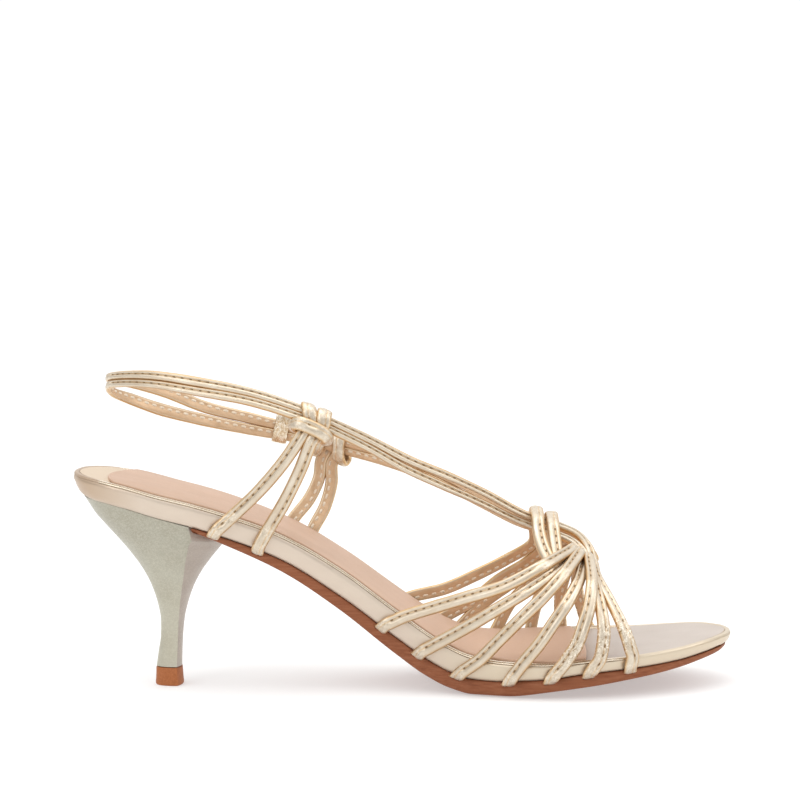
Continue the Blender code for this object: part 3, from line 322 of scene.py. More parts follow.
# each level of the rand: share of its depth, extra drop, extra inset (None where it follows the
# lean), and share of the puckers
RAND_LEVELS = (
    (0, SEAT_SINK - 0.02, RIM_WIDE, 0), (0, SEAT_SINK - 0.35, RIM_WIDE - 0.12, 0),
    (0, 0.10, RIM_WIDE - 0.36, 0), (0, -0.02, RIM_WIDE - 0.75, 0), (0, 0, 1.05, 0),
    (0, 0.05, 0.62, 0.1), (0, 0.20, 0.30, 0.2), (0, 0.30, 0.38, 0.2), (0, 0.42, 0.20, 0.2),
    (0, 0.55, 0.08, 0.35), (0, 0.78, 0.05, 0.35), (0, 0.90, 0.12, 0.35), (0, 1.00, 0.30, 0.3),
    (0, 1.15, 0.08, 0.4), (0.24, 0, 0, 0.6), (0.32, 0, 0.04, 0.85), (0.42, 0, None, 1),
    (0.56, 0, None, 1), (0.70, 0, None, 0.9), (0.82, 0, None, 0.65), (0.91, 0, None, 0.35),
    (0.97, 0, None, 0.1), (1, 0, None, 0),
)
RIM_BANDS = 11            # bands of faces, from the top, that make the rolled rim
RIM_SEAMS = (6, 7, 11, 12)          # the bands in its two seams, painted dark brown as shade
RIM_FROM = -20.0          # the rolled rim's stretch with its painted highlight, and where it ends on the outer side
RIM_TO = 168.0
RIM_BOTH = 100.0
RIM_CRINKLED = range(3, 11)         # the levels that are crinkled
FOLD_AT = 139.6           # a fold in the rand's cover on the medial side
FOLD_DEPTH = 0.22
FOLD_WIDE = 0.45
PUFF = 0.20               # how far the cover stands out between the strap feet, and from where
PUFF_ROOM = 0.8
PUFF_OVER = 4.5
WAVE = 0.05
CRINKLE = 0.05
CRINKLE_FROM = 60.0
CRINKLE_OVER = 40.0
# towards the toe the rim runs out: from where, over what length, and how far its seams close
FLUSH_FROM = 158.0
FLUSH_OVER = 12.0
SEAM_FILL = {6: 0.05, 7: 0.14, 8: 0.04, 11: 0.04, 12: 0.21}

# ---- stage
FLOOR_HALF = 9.0          # metres
BACKGROUND_STRENGTH = 1.05
# place on the ramp from the horizon to overhead, and grey of the room's light there
ROOM_LIGHT = ((0, 0.38), (0.18, 0.42), (0.5, 0.72), (0.8, 1), (1, 1))
ROOM_STRENGTH = 1.25
BACKDROP_LIGHT = 0.4
# name, place, aim, size and power, in metres and watts
LAMPS = (
    ("top", (0.05, -0.15, 1.3), (0.09, 0, 0.05), (1.2, 0.7), 3.9),
    ("front_left", (-0.8, -1.1, 0.75), (0.06, 0, 0.06), (0.6, 0.8), 3.1),
    ("right", (1.15, -0.35, 0.6), (0.14, 0, 0.05), (0.4, 0.7), 2.1),
)


# ---- small maths
def monotone(xs, ys):
    """A smooth curve through the rows that never swings past them."""
    xs = np.asarray(xs, float)
    ys = np.asarray(ys, float)
    step = np.diff(xs)
    slope = np.diff(ys) / step
    tangent = np.zeros(len(xs))
    tangent[0] = slope[0]
    tangent[-1] = slope[-1]
    for k in range(1, len(xs) - 1):
        if slope[k - 1] * slope[k] > 0.0:
            before = 2.0 * step[k] + step[k - 1]
            after = step[k] + 2.0 * step[k - 1]
            tangent[k] = (before + after) / (before / slope[k - 1] + after / slope[k])

    def value(x):
        x = min(max(float(x), xs[0]), xs[-1])
        k = min(int(np.searchsorted(xs, x, side="right")) - 1, len(xs) - 2)
        t = (x - xs[k]) / step[k]
        rise = (3.0 - 2.0 * t) * t * t
        return (ys[k] + (ys[k + 1] - ys[k]) * rise
                + step[k] * t * (1.0 - t) * ((1.0 - t) * tangent[k] - t * tangent[k + 1]))

    return value


medial_half, lateral_half, rim_height, rand_depth, tread_height = (
    monotone(np.array(SECTIONS)[:, 0], np.array(SECTIONS)[:, column]) for column in range(1, 6))
ridge_height = monotone(*np.array(RIDGE).T)


def footbed_underside(x):
    return rim_height(x) - rand_depth(x)


def middle_and_half(x):
    """The footbed's middle line and half its width."""
    return (lateral_half(x) - medial_half(x)) / 2.0, (lateral_half(x) + medial_half(x)) / 2.0


def slope_of(curve, x, reach):
    return (curve(x + reach) - curve(x - reach)) / (2.0 * reach)


def unit(v):
    v = np.asarray(v, float)
    return v / np.linalg.norm(v)


def unit_rows(rows):
    return rows / np.linalg.norm(rows, axis=1)[:, None]


def soft_step(t):
    t = min(max(t, 0.0), 1.0)
    return t * t * (3.0 - 2.0 * t)


def bell(t):
    return math.exp(-t * t)


def ripple(x, y, z):
    """Smooth noise from -1 to 1."""
    return noise.noise(Vector((x, y, z)))


def power(value, exponent):
    """A power that keeps the value's sign."""
    return math.copysign(abs(value) ** exponent, value)


def blurred(values, reach, step):
    """Values averaged over their neighbours within a reach, both in millimetres."""
    count = max(1, int(round(reach / step)))
    kernel = np.hanning(2 * count + 3)[1:-1]
    return np.convolve(np.pad(values, count, mode="edge"), kernel / kernel.sum(), mode="valid")


# ---- the foot form
def last_point(x, share, side, out=0.0):
    """Point on the foot form; share runs from 0 at the rand to 0.5 on the ridge."""
    middle, half = middle_and_half(x)
    across = power(math.cos(math.pi * share), LAST_FULLNESS)
    rise = math.sin(math.pi * share) ** LAST_SQUARENESS if share > 0.0 else 0.0
    height = rim_height(x) + (ridge_height(x) - rim_height(x)) * rise
    return np.array([x, middle + side * (half + out) * across, height])


def last_normal(x, share, side, out=0.0):
    """Outward direction of the foot form at a point."""
    share = max(share, NORMAL_SHARE)
    along = last_point(x + 1.0, share, side, out) - last_point(x - 1.0, share, side, out)
    around = (last_point(x, share + NORMAL_SHARE, side, out)
              - last_point(x, share - NORMAL_SHARE, side, out))
    return unit(np.cross(around, along)) * side


def away_from_core(point):
    """Direction from the nearest point of the foot's and leg's middle line."""
    offsets = []
    for a, b in zip(FOOT_CORE, FOOT_CORE[1:]):
        share = min(max(float((point - a) @ (b - a)) / float((b - a) @ (b - a)), 0.0), 1.0)
        offsets.append(point - (a + (b - a) * share))
    return unit(min(offsets, key=np.linalg.norm))


def sideways(amount, y):
    """A vector across the shoe, towards the side that y is on."""
    return np.array([0.0, math.copysign(amount, y), 0.0])


# ---- strap routes: (point, facing, width)
def foot_rows(side, x_foot, x_top):
    """The strap's end: from under the footbed, round its lower edge and up its side."""
    half = medial_half if side < 0 else lateral_half
    slope = slope_of(footbed_underside, x_foot, 4.0)
    away = unit([-slope_of(half, x_foot, 3.0), side, 0.0])
    down = unit([slope, 0.0, -1.0])
    facing = {"under": down, "round": unit(0.8 * down + away), "side": away}
    drop = (GAP + TUCK_THICK / 2.0 + SPARE) * math.hypot(1.0, slope)
    rows = []
    for share, outside, face in TUCK_PATH:
        x = x_foot + share * (x_top - x_foot)
        height = footbed_underside(x)
        if face == "under":
            height -= drop
        elif face == "side":
            height += share * rand_depth(x)
        rows.append((np.array([x, side * (half(x) + outside), height]), facing[face], STRAP_WIDE))
    return rows


def lifted(x, share, side, lift):
    """Middle of a strap on the foot form, and the outward direction there."""
    normal = last_normal(x, share, side, STRAP_OUT)
    return last_point(x, share, side, STRAP_OUT) + lift * normal, normal


def vamp_rows(side, x_foot, xs, layer):
    """Rows of a vamp strap, from its end under the footbed up towards the ridge."""
    rows = foot_rows(side, x_foot, xs[0])
    for (share, lift, wide, turn), x in list(zip(VAMP_STAGES, xs))[1:]:
        if x is not None:
            point, normal = lifted(x, share, side, layer * lift)
            rows.append((point, unit(normal + sideways(turn, side)), wide))
    return rows


def over_ridge(x, layer):
    """Last rows of a medial strap that ends on the lateral side, under the ankle strands."""
    _, lift, wide, _ = VAMP_STAGES[-1]
    return [(*lifted(x, share, 1, layer * lift), wide) for share in RIDGE_END]


def strand_rows(up):
    """One strand of the double strap; up is 1 for the upper strand and -1 for the lower."""
    centres = np.array([row[:3] for row in TETHER])
    rows = []
    for k, (x, y, _, spread, wide) in enumerate(TETHER):
        heading = unit(centres[min(k + 1, len(TETHER) - 1)] - centres[max(k - 1, 0)])
        level = soft_step((x - UPRIGHT_FROM) / UPRIGHT_OVER)
        normal = unit(away_from_core(centres[k]) * (1.0 - level) + sideways(level, y))
        across = unit(np.cross(heading, normal))
        if across[2] < 0.0 or (abs(across[2]) < 0.3 and across[1] * y > 0.0):
            across = -across
        rows.append((centres[k] + across * up * spread / 2.0, normal, wide))
    return rows


def arch_rows(name):
    """Where an ankle strand comes over the arch, turning towards its own side of the shoe."""
    return [(place, unit(away_from_core(place) + sideways(turn, place[1])), wide)
            for place, (turn, wide) in zip(np.array(ARCH[name]), ARCH_TURNS)]


def wrap_rows(name):
    """Over the ankle strands: flat against their bundle."""
    return [(place, unit(place - (place[0], *BUNDLE)), STRAP_WIDE) for place in np.array(WRAPS[name])]


def hitch_route(side, place, rear_tail, front_tail):
    """A rear knot: one strap, from its rear tail's end round the knot to its front tail's end."""
    place = np.array(place)
    centres = np.array([row[:3] for row in TETHER])
    near = int(np.argmin(np.linalg.norm(centres - place, axis=1)))
    along = unit(centres[near + side] - centres[near - side])
    out = unit(away_from_core(place) * np.array([1.0, 1.0, 0.0]))
    out = unit(out - along * float(out @ along))
    up = unit(np.cross(along, out)) * side
    rows = []
    for a, o, u, wide, turn in HITCH:
        outside = o > 2.5 and u < 1.0
        facing = out if outside else unit(out * o + up * u * 0.6)
        facing = facing * math.cos(math.radians(turn)) - along * math.sin(math.radians(turn))
        rows.append((place + along * a + out * o + up * u, facing, wide))

    def tail(x_top, x_foot, bow, start):
        ends = foot_rows(side, x_foot, x_top)
        low = ends[-1][0]
        for share in TAIL_SHARES:
            arch = 4.0 * share * (1.0 - share)
            offset = np.array([bow * arch, side * TAIL_BOW * arch, 0.0])
            ends.append((low + (start - low) * share + offset, sideways(1.0, side), STRAP_WIDE))
        return ends

    return tail(*rear_tail, rows[0][0]) + rows + tail(*front_tail, rows[-1][0])[::-1]


def upper_routes():
    """Every strap of the upper: name, rows, and which of its ends are tucked in."""
    vamp = {name: vamp_rows(*rest) for name, *rest in VAMP}
    layers = {row[0]: row[4] for row in VAMP}
    routes = []
    for name in ("m1", "m2"):
        end = over_ridge(vamp[name][-1][0][0] + RIDGE_END_STEP, layers[name])
        routes.append((name, vamp[name] + end, (True, False)))
    for medial, lateral in (("m3", "l3"), ("m4", "l4"), ("m5", "l5")):
        routes.append((medial + lateral, vamp[medial] + vamp[lateral][::-1], (True, True)))
    for name in ("l1", "l2"):
        routes.append((name, vamp[name] + wrap_rows(name), (True, False)))
    for up, medial, lateral in ((1, "m7", "l7"), (-1, "m6", "l6")):
        rows = vamp[medial] + arch_rows(medial) + strand_rows(up)
        routes.append((medial + lateral, rows + (vamp[lateral] + arch_rows(lateral))[::-1], (True, True)))
    return routes + [("knot_" + name, hitch_route(*rest), (True, True)) for name, *rest in KNOTS]


def strap_curve(rows, step):
    """A smooth curve through a strap's rows at even steps.

    Returns distances, widths and centres, and the unit directions along, across and outwards.
    """
    points = np.array([row[0] for row in rows], float)
    sides = np.array([(*row[1], row[2]) for row in rows], float)
    padded = np.vstack([2 * points[0] - points[1], points, 2 * points[-1] - points[-2]])
    knots = np.concatenate([[0.0], np.cumsum(np.sqrt(np.linalg.norm(np.diff(padded, axis=0), axis=1)))])
    dense = []
    dense_sides = []
    for k in range(len(points) - 1):
        t0, t1, t2, t3 = knots[k:k + 4]
        p0, p1, p2, p3 = padded[k:k + 4]
        last = k == len(points) - 2
        share = np.arange(CURVE_PIECES + last)[:, None] / CURVE_PIECES
        t = t1 + (t2 - t1) * share

        def blend(a, b, start, stop):
            return (stop - t) / (stop - start) * a + (t - start) / (stop - start) * b

        inner = blend(p1, p2, t1, t2)
        dense.append(blend(blend(blend(p0, p1, t0, t1), inner, t0, t2),
                           blend(inner, blend(p2, p3, t2, t3), t1, t3), t1, t2))
        dense_sides.append((1 - share) * sides[k] + share * sides[k + 1])
    dense = np.hstack([np.vstack(dense), np.vstack(dense_sides)])
    run = np.concatenate([[0.0], np.cumsum(np.linalg.norm(np.diff(dense[:, :3], axis=0), axis=1))])
    at = np.linspace(0.0, run[-1], max(2, int(round(run[-1] / step)) + 1))
    spaced = np.column_stack([np.interp(at, run, column) for column in dense.T])
    centres = spaced[:, :3]
    facing = np.column_stack([blurred(column, NORMAL_REACH, at[1]) for column in spaced[:, 3:6].T])
    heading = unit_rows(np.gradient(centres, axis=0))
    across = unit_rows(np.cross(heading, facing))
    return at, spaced[:, 6], centres, heading, across, np.cross(across, heading)


# ---- mesh making
def link_new(name, data):
    obj = bpy.data.objects.new(name, data)
    bpy.context.scene.collection.objects.link(obj)
    return obj


def make_object(name, verts, faces, materials, tones=None, lay=None, crease_glint_weight=None):
    """A smooth mesh object from millimetre points, its faces turned outwards.

    tones: which material each face has; lay, and the crease weight that carries crease relief, painted
    glints and painted crease shade: extra values of each point for materials
    """
    mesh = bpy.data.meshes.new(name)
    mesh.from_pydata((np.asarray(verts, float) * MM).tolist(), [], faces)
    mesh.update()
    for material in materials:
        mesh.materials.append(material)
    if tones is not None:
        mesh.polygons.foreach_set("material_index", np.asarray(tones, np.int32))
    extras = (("lay", "FLOAT_VECTOR", "vector", lay), ("crease_glint_weight", "FLOAT", "value", crease_glint_weight))
    for key, kind, field, values in extras:
        if values is not None:
            attribute = mesh.attributes.new(key, kind, "POINT")
            attribute.data.foreach_set(field, np.asarray(values, np.float32).ravel())
    obj = link_new(name, mesh)
    mesh.shade_smooth()
    shape = bmesh.new()
    shape.from_mesh(mesh)
    bmesh.ops.recalc_face_normals(shape, faces=shape.faces)
    shape.to_mesh(mesh)
    shape.free()
    return obj


def ride(obj, slot, *nodes, edge=None):
    """Attach a piece to the root body, hide the parts it stands in for, and keep its edges crisp from an
    angle on.
    """
    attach(obj, "root")
    if nodes:
        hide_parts(*nodes)
    if edge:
        obj.data.set_sharp_from_angle(angle=math.radians(edge))


def band(first, second):
    """Faces between two closed rings of vertex numbers."""
    return [(first[k - 1], first[k], second[k], second[k - 1]) for k in range(len(first))]


def loft(rings, closed=False):
    """A skin over rings of equal length: with flat ends, or closed on itself."""
    size = len(rings[0])
    numbers = [range(r * size, (r + 1) * size) for r in range(len(rings))]
    pairs = list(zip(numbers, numbers[1:])) + ([(numbers[-1], numbers[0])] if closed else [])
    faces = [face for pair in pairs for face in band(*pair)]
    if not closed:
        faces += [tuple(numbers[0])[::-1], tuple(numbers[-1])]
    return [tuple(p) for ring in rings for p in ring], faces


def plate(rows, across, inset, levels, push=None):
    """A plate that follows the last's outline, finely divided: points, faces, part of each face.

    rows: (x on the medial side, x on the lateral side, bulge) of each row of faces across it
    levels: (height function, extra inset) for each ring of the side, top first; the first
    and the last also give the height of the whole top and underside
    push: function of (x, y, level number) that pushes the side outwards
    """
    share = np.arange(across + 1)[:, None] / across
    plan = []
    for x_medial, x_lateral, bulge in rows:
        medial = np.array([x_medial, inset - medial_half(x_medial)])
        lateral = np.array([x_lateral, lateral_half(x_lateral) - inset])
        line = medial * (1.0 - share) + lateral * share
        line[:, 0] += bulge * 4.0 * share[:, 0] * (1.0 - share[:, 0])
        plan.append(line)
    end = len(rows) - 1
    rim = [(i, 0) for i in range(end)] + [(end, j) for j in range(across)]
    rim += [(i, across) for i in range(end, 0, -1)] + [(0, j) for j in range(across, 0, -1)]
    edge = np.array([plan[i][j] for i, j in rim])
    run = unit_rows(np.roll(edge, -1, axis=0) - np.roll(edge, 1, axis=0))
    inward = np.column_stack([-run[:, 1], run[:, 0]])
    verts = []
    for level, (height, extra) in enumerate(levels):
        for point, inner in zip(edge, inward):
            amount = extra(point[0]) if callable(extra) else extra
            if push is not None:
                amount -= push(*point, level)
            x, y = point + inner * amount
            verts.append((x, y, height(x, y)))
    rings = [range(level * len(edge), (level + 1) * len(edge)) for level in range(len(levels))]
    faces = [face for pair in zip(rings, rings[1:]) for face in band(*pair)]
    parts = ["side"] * len(faces)
    for ring, height, part in ((rings[0], levels[0][0], "top"), (rings[-1], levels[-1][0], "under")):
        index = dict(zip(rim, ring))
        spot = {key: np.array(verts[index[key]][:2]) for key in index}
        for i in range(1, end):
            u = i / end
            for j in range(1, across):
                v = j / across
                sides = spot[i, 0] * (1 - v) + spot[i, across] * v
                ends = spot[0, j] * (1 - u) + spot[end, j] * u
                corners = ((spot[0, 0] * (1 - u) + spot[end, 0] * u) * (1 - v)
                           + (spot[0, across] * (1 - u) + spot[end, across] * u) * v)
                x, y = sides + ends - corners
                index[i, j] = len(verts)
                verts.append((x, y, height(x, y)))
        for i in range(end):
            for j in range(across):
                quad = (index[i, j], index[i + 1, j], index[i + 1, j + 1], index[i, j + 1])
                faces.append(quad if part == "under" else quad[::-1])
                parts.append(part)
    return verts, faces, parts


def stations(back, front, step):
    """Even stations with closer ones at both ends."""
    start = back + CLOSE_STATIONS[-1]
    stop = front - CLOSE_STATIONS[-1]
    middle = np.linspace(start, stop, int(round((stop - start) / step)) + 1)
    return ([back + e for e in CLOSE_STATIONS[:-1]] + list(middle)
            + [front - e for e in CLOSE_STATIONS[-2::-1]])


def end_bulge(x, back, front, back_bulge, front_bulge, reach):
    """Bulge of a row, fading away from the two ends of a plate."""
    bulge = back_bulge * max(0.0, 1.0 - (x - back) / reach) ** 2
    return bulge + front_bulge * max(0.0, 1.0 - (front - x) / reach) ** 2


# ---- materials
def even(value):
    """The same value for all three axes or colours."""
    return (value,) * 3


class Nodes:
    """Short names for the shader nodes used here, on one node tree."""

    def __init__(self, tree):
        self.tree = tree

    def put(self, socket, value):
        """A link or a plain value on a socket."""
        if isinstance(value, bpy.types.NodeSocket):
            self.tree.links.new(value, socket)
        else:
            socket.default_value = (*value, 1.0) if socket.type == "RGBA" else value

    def add(self, kind, sockets=None, **settings):
        """A node with its settings, and with values or links on its sockets."""
        node = self.tree.nodes.new(kind)
        for key, value in settings.items():
            setattr(node, key, value)
        for key, value in (sockets or {}).items():
            self.put(node.inputs[key], value)
        return node

    def math(self, operation, *values):
        return self.add("ShaderNodeMath", dict(enumerate(values)), operation=operation).outputs[0]

    def times(self, first, second):
        return self.math("MULTIPLY", first, second)

    def total(self, *values):
        result = values[0]
        for value in values[1:]:
            result = self.math("ADD", result, value)
        return result

    def place(self, scale=even(1.0)):
        """The piece's own coordinates, in millimetres, times a scale for each axis."""
        where = self.add("ShaderNodeTexCoord").outputs["Object"]
        return self.add("ShaderNodeVectorMath", {0: where, 1: tuple(s / MM for s in scale)},
                        operation="MULTIPLY").outputs[0]

    def lay(self, scale=even(1.0)):
        """The strap's own coordinates: millimetres along and across, share of the half width."""
        where = self.add("ShaderNodeAttribute", attribute_name="lay").outputs["Vector"]
        return self.add("ShaderNodeVectorMath", {0: where, 1: scale}, operation="MULTIPLY").outputs[0]

    def part(self, vector, axis):
        return self.add("ShaderNodeSeparateXYZ", {0: vector}).outputs[axis]

    def noise(self, where, detail, rough=0.55, warp=0.0):
        return self.add("ShaderNodeTexNoise", {"Vector": where, "Scale": 1.0, "Detail": detail,
                                               "Roughness": rough, "Distortion": warp}).outputs["Fac"]

    def cells(self, scale, output):
        return self.add("ShaderNodeTexVoronoi", {"Vector": self.place(scale), "Scale": 1.0}).outputs[output]

    def ramp(self, value, *stops):
        """A colour ramp over (place, colour) stops."""
        node = self.add("ShaderNodeValToRGB", {"Fac": value})
        elements = node.color_ramp.elements
        while len(elements) < len(stops):
            elements.new(0.5)
        for element, (place, colour) in zip(elements, stops):
            element.position = place
            element.color = (*colour, 1.0)
        return node.outputs["Color"]

    def between(self, value, low, high, to_low, to_high):
        return self.add("ShaderNodeMapRange", {"Value": value, "From Min": low, "From Max": high,
                                               "To Min": to_low, "To Max": to_high}).outputs["Result"]

    def mix(self, share, first, second, blend="MIX"):
        return self.add("ShaderNodeMix", {0: share, 6: first, 7: second}, data_type="RGBA",
                        blend_type=blend).outputs[2]


class Look(Nodes):
    """A Principled material and its nodes."""

    def __init__(self, name, colour, rough, metal, **sockets):
        self.material = bpy.data.materials.new(name)
        self.material.use_nodes = True
        super().__init__(self.material.node_tree)
        self.shade(Base_Color=colour, Roughness=rough, Metallic=metal, **sockets)

    def shade(self, **sockets):
        """Links or values on the shader's sockets; an underscore stands for a space."""
        for name, value in sockets.items():
            self.put(self.tree.nodes["Principled BSDF"].inputs[name.replace("_", " ")], value)

    def relief(self, height, strength, distance):
        """Relief from a height in millimetres times distance."""
        self.shade(Normal=self.add("ShaderNodeBump", {"Height": height, "Strength": strength,
                                                      "Distance": distance * MM}).outputs["Normal"])


def plain_look(name):
    """A material out of a row of LOOKS."""
    base, noises, tones, shine, shares, bump, *more = LOOKS[name]
    more = dict(more)
    look = Look(name, *base, **more.get("sockets", {}))
    where = look.lay if name in ON_STRAPS else look.place
    values = [look.noise(where(scale), *rest) for scale, *rest in noises]
    colour = look.ramp(values[0], *tones)
    for *span, shade in more.get("along", ()):
        colour = look.mix(look.between(look.part(look.place(), "X"), *span), colour, shade)
    if "flecks" in more:
        share, shade = more["flecks"]
        colour = look.mix(look.times(values[-1], share), colour, shade)
    look.shade(Base_Color=colour)
    if shine:
        look.shade(Roughness=look.between(values[-1], 0.3, 0.7, *shine))
    heights = [look.times(value, share) for value, share in zip(values, shares) if share]
    if "pores" in more:
        scale, share = more["pores"]
        heights.append(look.times(look.cells(scale, "Distance"), share))
    if bump:
        look.relief(look.total(*heights), *bump)
    return look.material


# Name: plain colour, roughness and metallic; noises as (scale of each axis, detail, roughness,
# warp); colours over the first noise; roughness over the last one; share of each noise in the
# relief; the relief's strength and distance. Then what else there is: sockets, colours that come
# in along X (from, to, share there, colour), flecks over the last noise, and pores.
LOOKS = {
    # the strap's inner face: tan metallic leather
    "strap_lining": (
        ((0.64, 0.43, 0.26), 0.42, 0.5), (((0.2, 0.4, 0), 3), ((3, 3, 0), 4, 0.6)),
        ((0.3, (0.58, 0.39, 0.235)), (0.7, (0.72, 0.51, 0.33))), (0.34, 0.50), (0, 1), (0.35, 0.10),
    ),
    # twisted thread: on the outer face darkened to brown as painted shade of its stitch holes, on the inner
    # face pale
    "stitch_thread_painted_shade": (
        ((0.22, 0.125, 0.05), 0.55, 0), ((even(3), 2),),
        ((0.35, (0.22, 0.125, 0.05)), (0.7, (0.40, 0.25, 0.11))), None, (1,), (0.5, 0.10),
    ),
    "stitch_thread_pale": (
        ((0.66, 0.54, 0.40), 0.55, 0), ((even(3), 2),),
        ((0.35, (0.66, 0.54, 0.40)), (0.7, (0.86, 0.77, 0.64))), None, (1,), (0.5, 0.10),
    ),
    # smooth satin gold of the footbed's side: fine grain, soft broad waves; darker tan round the back as
    # painted shade where the side turns away, and yellower towards the toe
    "rand_satin": (
        ((0.64, 0.54, 0.45), 0.38, 0.7),
        (((0.07, 0.07, 0.2), 2), ((0.25, 0.25, 0.5), 2, 0.55, 0.5), (even(3.2), 4, 0.6)),
        ((0.3, (0.63, 0.53, 0.435)), (0.7, (0.66, 0.56, 0.46))), (0.32, 0.44), (0, 1, 0.3), (0.4, 0.10),
        # painted shade: darker tan at the back end; from x 90 on it turns yellower towards the toe
        ("along", ((-26, -4, 0.85, 0, (0.46, 0.33, 0.22)), (90, 120, 0, 0.7, (0.66, 0.565, 0.42)))),
    ),
    # the rolled upper edge of the footbed: the same gold, shinier, and paler as a painted highlight
    "rim_foil_painted_highlight": (
        ((0.74, 0.64, 0.51), 0.24, 0.95), ((even(0.12), 3, 0.55, 0.4), (even(1.6), 3, 0.6)),
        ((0.3, (0.66, 0.55, 0.42)), (0.65, (0.78, 0.69, 0.56))), (0.20, 0.34), (1, 1), (0.25, 0.06),
    ),
    # the narrow channels beside the rolled edge, painted dark brown as shade
    "rim_seam_painted_shade": (
        ((0.30, 0.20, 0.10), 0.5, 0.4), ((even(0.3), 3, 0.55, 0.5),),
        ((0.35, (0.26, 0.17, 0.09)), (0.65, (0.42, 0.31, 0.20))), None, (1,), (0.25, 0.06),
    ),
    # the footbed's top ahead of the sock: paler and flatter than its side
    "front_satin": (
        ((0.61, 0.53, 0.47), 0.48, 0.45), ((even(0.06), 2), (even(2.2), 4, 0.6)),
        ((0.3, (0.53, 0.46, 0.405)), (0.7, (0.575, 0.505, 0.45))), (0.42, 0.56), (0, 1), (0.3, 0.06),
        ("along", ((20, -5, 0, 1, (0.66, 0.53, 0.39)),)),
    ),
    # soft matt lining leather with fine pores and a faintly mottled peach colour, paler towards the toe as
    # painted light lifting the shade under the vamp straps
    "sock_leather": (
        ((0.60, 0.43, 0.33), 0.62, 0), (((0.05, 0.08, 0.05), 4), (even(0.9), 5, 0.6)),
        ((0.3, (0.515, 0.34, 0.235)), (0.7, (0.58, 0.39, 0.28))), (0.55, 0.70), (0, 1), (0.35, 0.10),
        ("sockets", {"Sheen_Weight": 0.08, "Sheen_Roughness": 0.4}),
        # painted light: the colour turns paler from x 70 to 115, under the vamp straps
        ("along", ((70, 115, 0, 1, (0.66, 0.445, 0.315)),)), ("pores", (even(1.6), 0.6)),
    ),
    # stained and lightly buffed outsole: fine streaks along the shoe
    "outsole_board": (
        ((0.28, 0.10, 0.045), 0.5, 0), (((0.06, 0.6, 1.4), 4, 0.6), (even(1.2), 3)),
        ((0.30, (0.20, 0.062, 0.026)), (0.52, (0.27, 0.092, 0.041)), (0.75, (0.32, 0.125, 0.064))),
        (0.42, 0.6), (1, 0.5), (0.35, 0.12), ("sockets", {"Specular_IOR_Level": 0.15}),
        ("flecks", (0.2, (0.36, 0.155, 0.085))),
    ),
    # matt moulded top piece
    "tip_rubber": (
        ((0.37, 0.12, 0.045), 0.55, 0), ((even(1.5), 4),),
        ((0.3, (0.34, 0.105, 0.030)), (0.7, (0.45, 0.155, 0.055))), (0.48, 0.62), (1,), (0.3, 0.08),
        ("sockets", {"Specular_IOR_Level": 0.3}),
    ),
    # gold foil band, heavily crinkled; its colour follows the crinkle relief, with painted shade in the
    # hollows and painted near-white glints on the crests
    "keeper_foil": (
        ((0.74, 0.63, 0.48), 0.24, 1), ((even(0.5), 2, 0.55, 1.2), (even(2.6), 3)),
        ((0.32, (0.58, 0.42, 0.25)), (0.50, (0.74, 0.63, 0.47)), (0.68, (0.92, 0.85, 0.73))), (0.18, 0.38),
        (1, 0.2), (0.6, 0.3),
    ),
    # matt studio floor, lifted close to the white backdrop; it has no relief
    "floor_white": (
        (even(0.6), 0.9, 0), ((even(0.02), 2),), ((0.3, even(0.595)), (0.7, even(0.605))), None, (), None,
        ("sockets", {"Specular_IOR_Level": 0, "Emission_Color": even(1), "Emission_Strength": 0.42}),
    ),
}
ON_STRAPS = ("strap_lining",)       # looks that follow a strap's own coordinates


def strap_foil():
    """Pale gold foil: smooth stretches; creases where it is bent, with painted glints and painted crease
    shade in them; painted ochre shade along its edges and in its stitch groove.
    """
    look = Look("strap_foil", (0.66, 0.56, 0.44), 0.25, 0.90)
    crease_glint = look.add("ShaderNodeAttribute", attribute_name="crease_glint_weight").outputs["Fac"]
    aside = look.part(look.lay(), "Z")
    broad = look.noise(look.lay((0.16, 0.3, 0.0)), 3.0)
    grain = look.noise(look.lay((2.4, 1.3, 0.0)), 4.0, 0.65, 0.6)
    crease = look.noise(look.lay((0.9, 0.28, 0.0)), 3.0, 0.6, 1.2)
    fleck = look.noise(look.lay((0.85, 1.3, 0.0)), 3.0, 0.7, 1.0)
    base = look.ramp(broad, (0.30, (0.61, 0.51, 0.385)), (0.52, (0.66, 0.57, 0.45)),
                     (0.75, (0.71, 0.635, 0.52)))
    # painted shade: the strap's rounded sides and its stitch groove are tinted ochre where shade falls
    edge = look.between(look.math("ABSOLUTE", aside), 0.66, 0.97, 0.0, 0.95)
    groove = look.math("COMPARE", aside, 2.0 * GROOVE_AT, 0.10)
    colour = look.mix(look.total(edge, look.times(groove, 0.5)), base, (0.66, 0.43, 0.20))
    # painted crease shade in the hollows of the fleck relief and painted glints on its crests, as far as
    # the crease weight reaches
    painted_crease_shade = look.times(look.between(fleck, 0.42, 0.34, 0.0, 1.0), crease_glint)
    painted_glints = look.times(look.between(fleck, 0.52, 0.60, 0.0, 1.0), crease_glint)
    colour = look.mix(painted_crease_shade, colour, (0.30, 0.20, 0.09))
    look.shade(Base_Color=look.mix(painted_glints, colour, (0.97, 0.90, 0.78)),
               Roughness=look.between(grain, 0.25, 0.75, 0.31, 0.46))
    look.relief(look.total(look.times(grain, 0.25), look.times(crease, 0.5),
                           look.times(look.times(fleck, 4.0), crease_glint)), 0.5, 0.13)
    return look.material


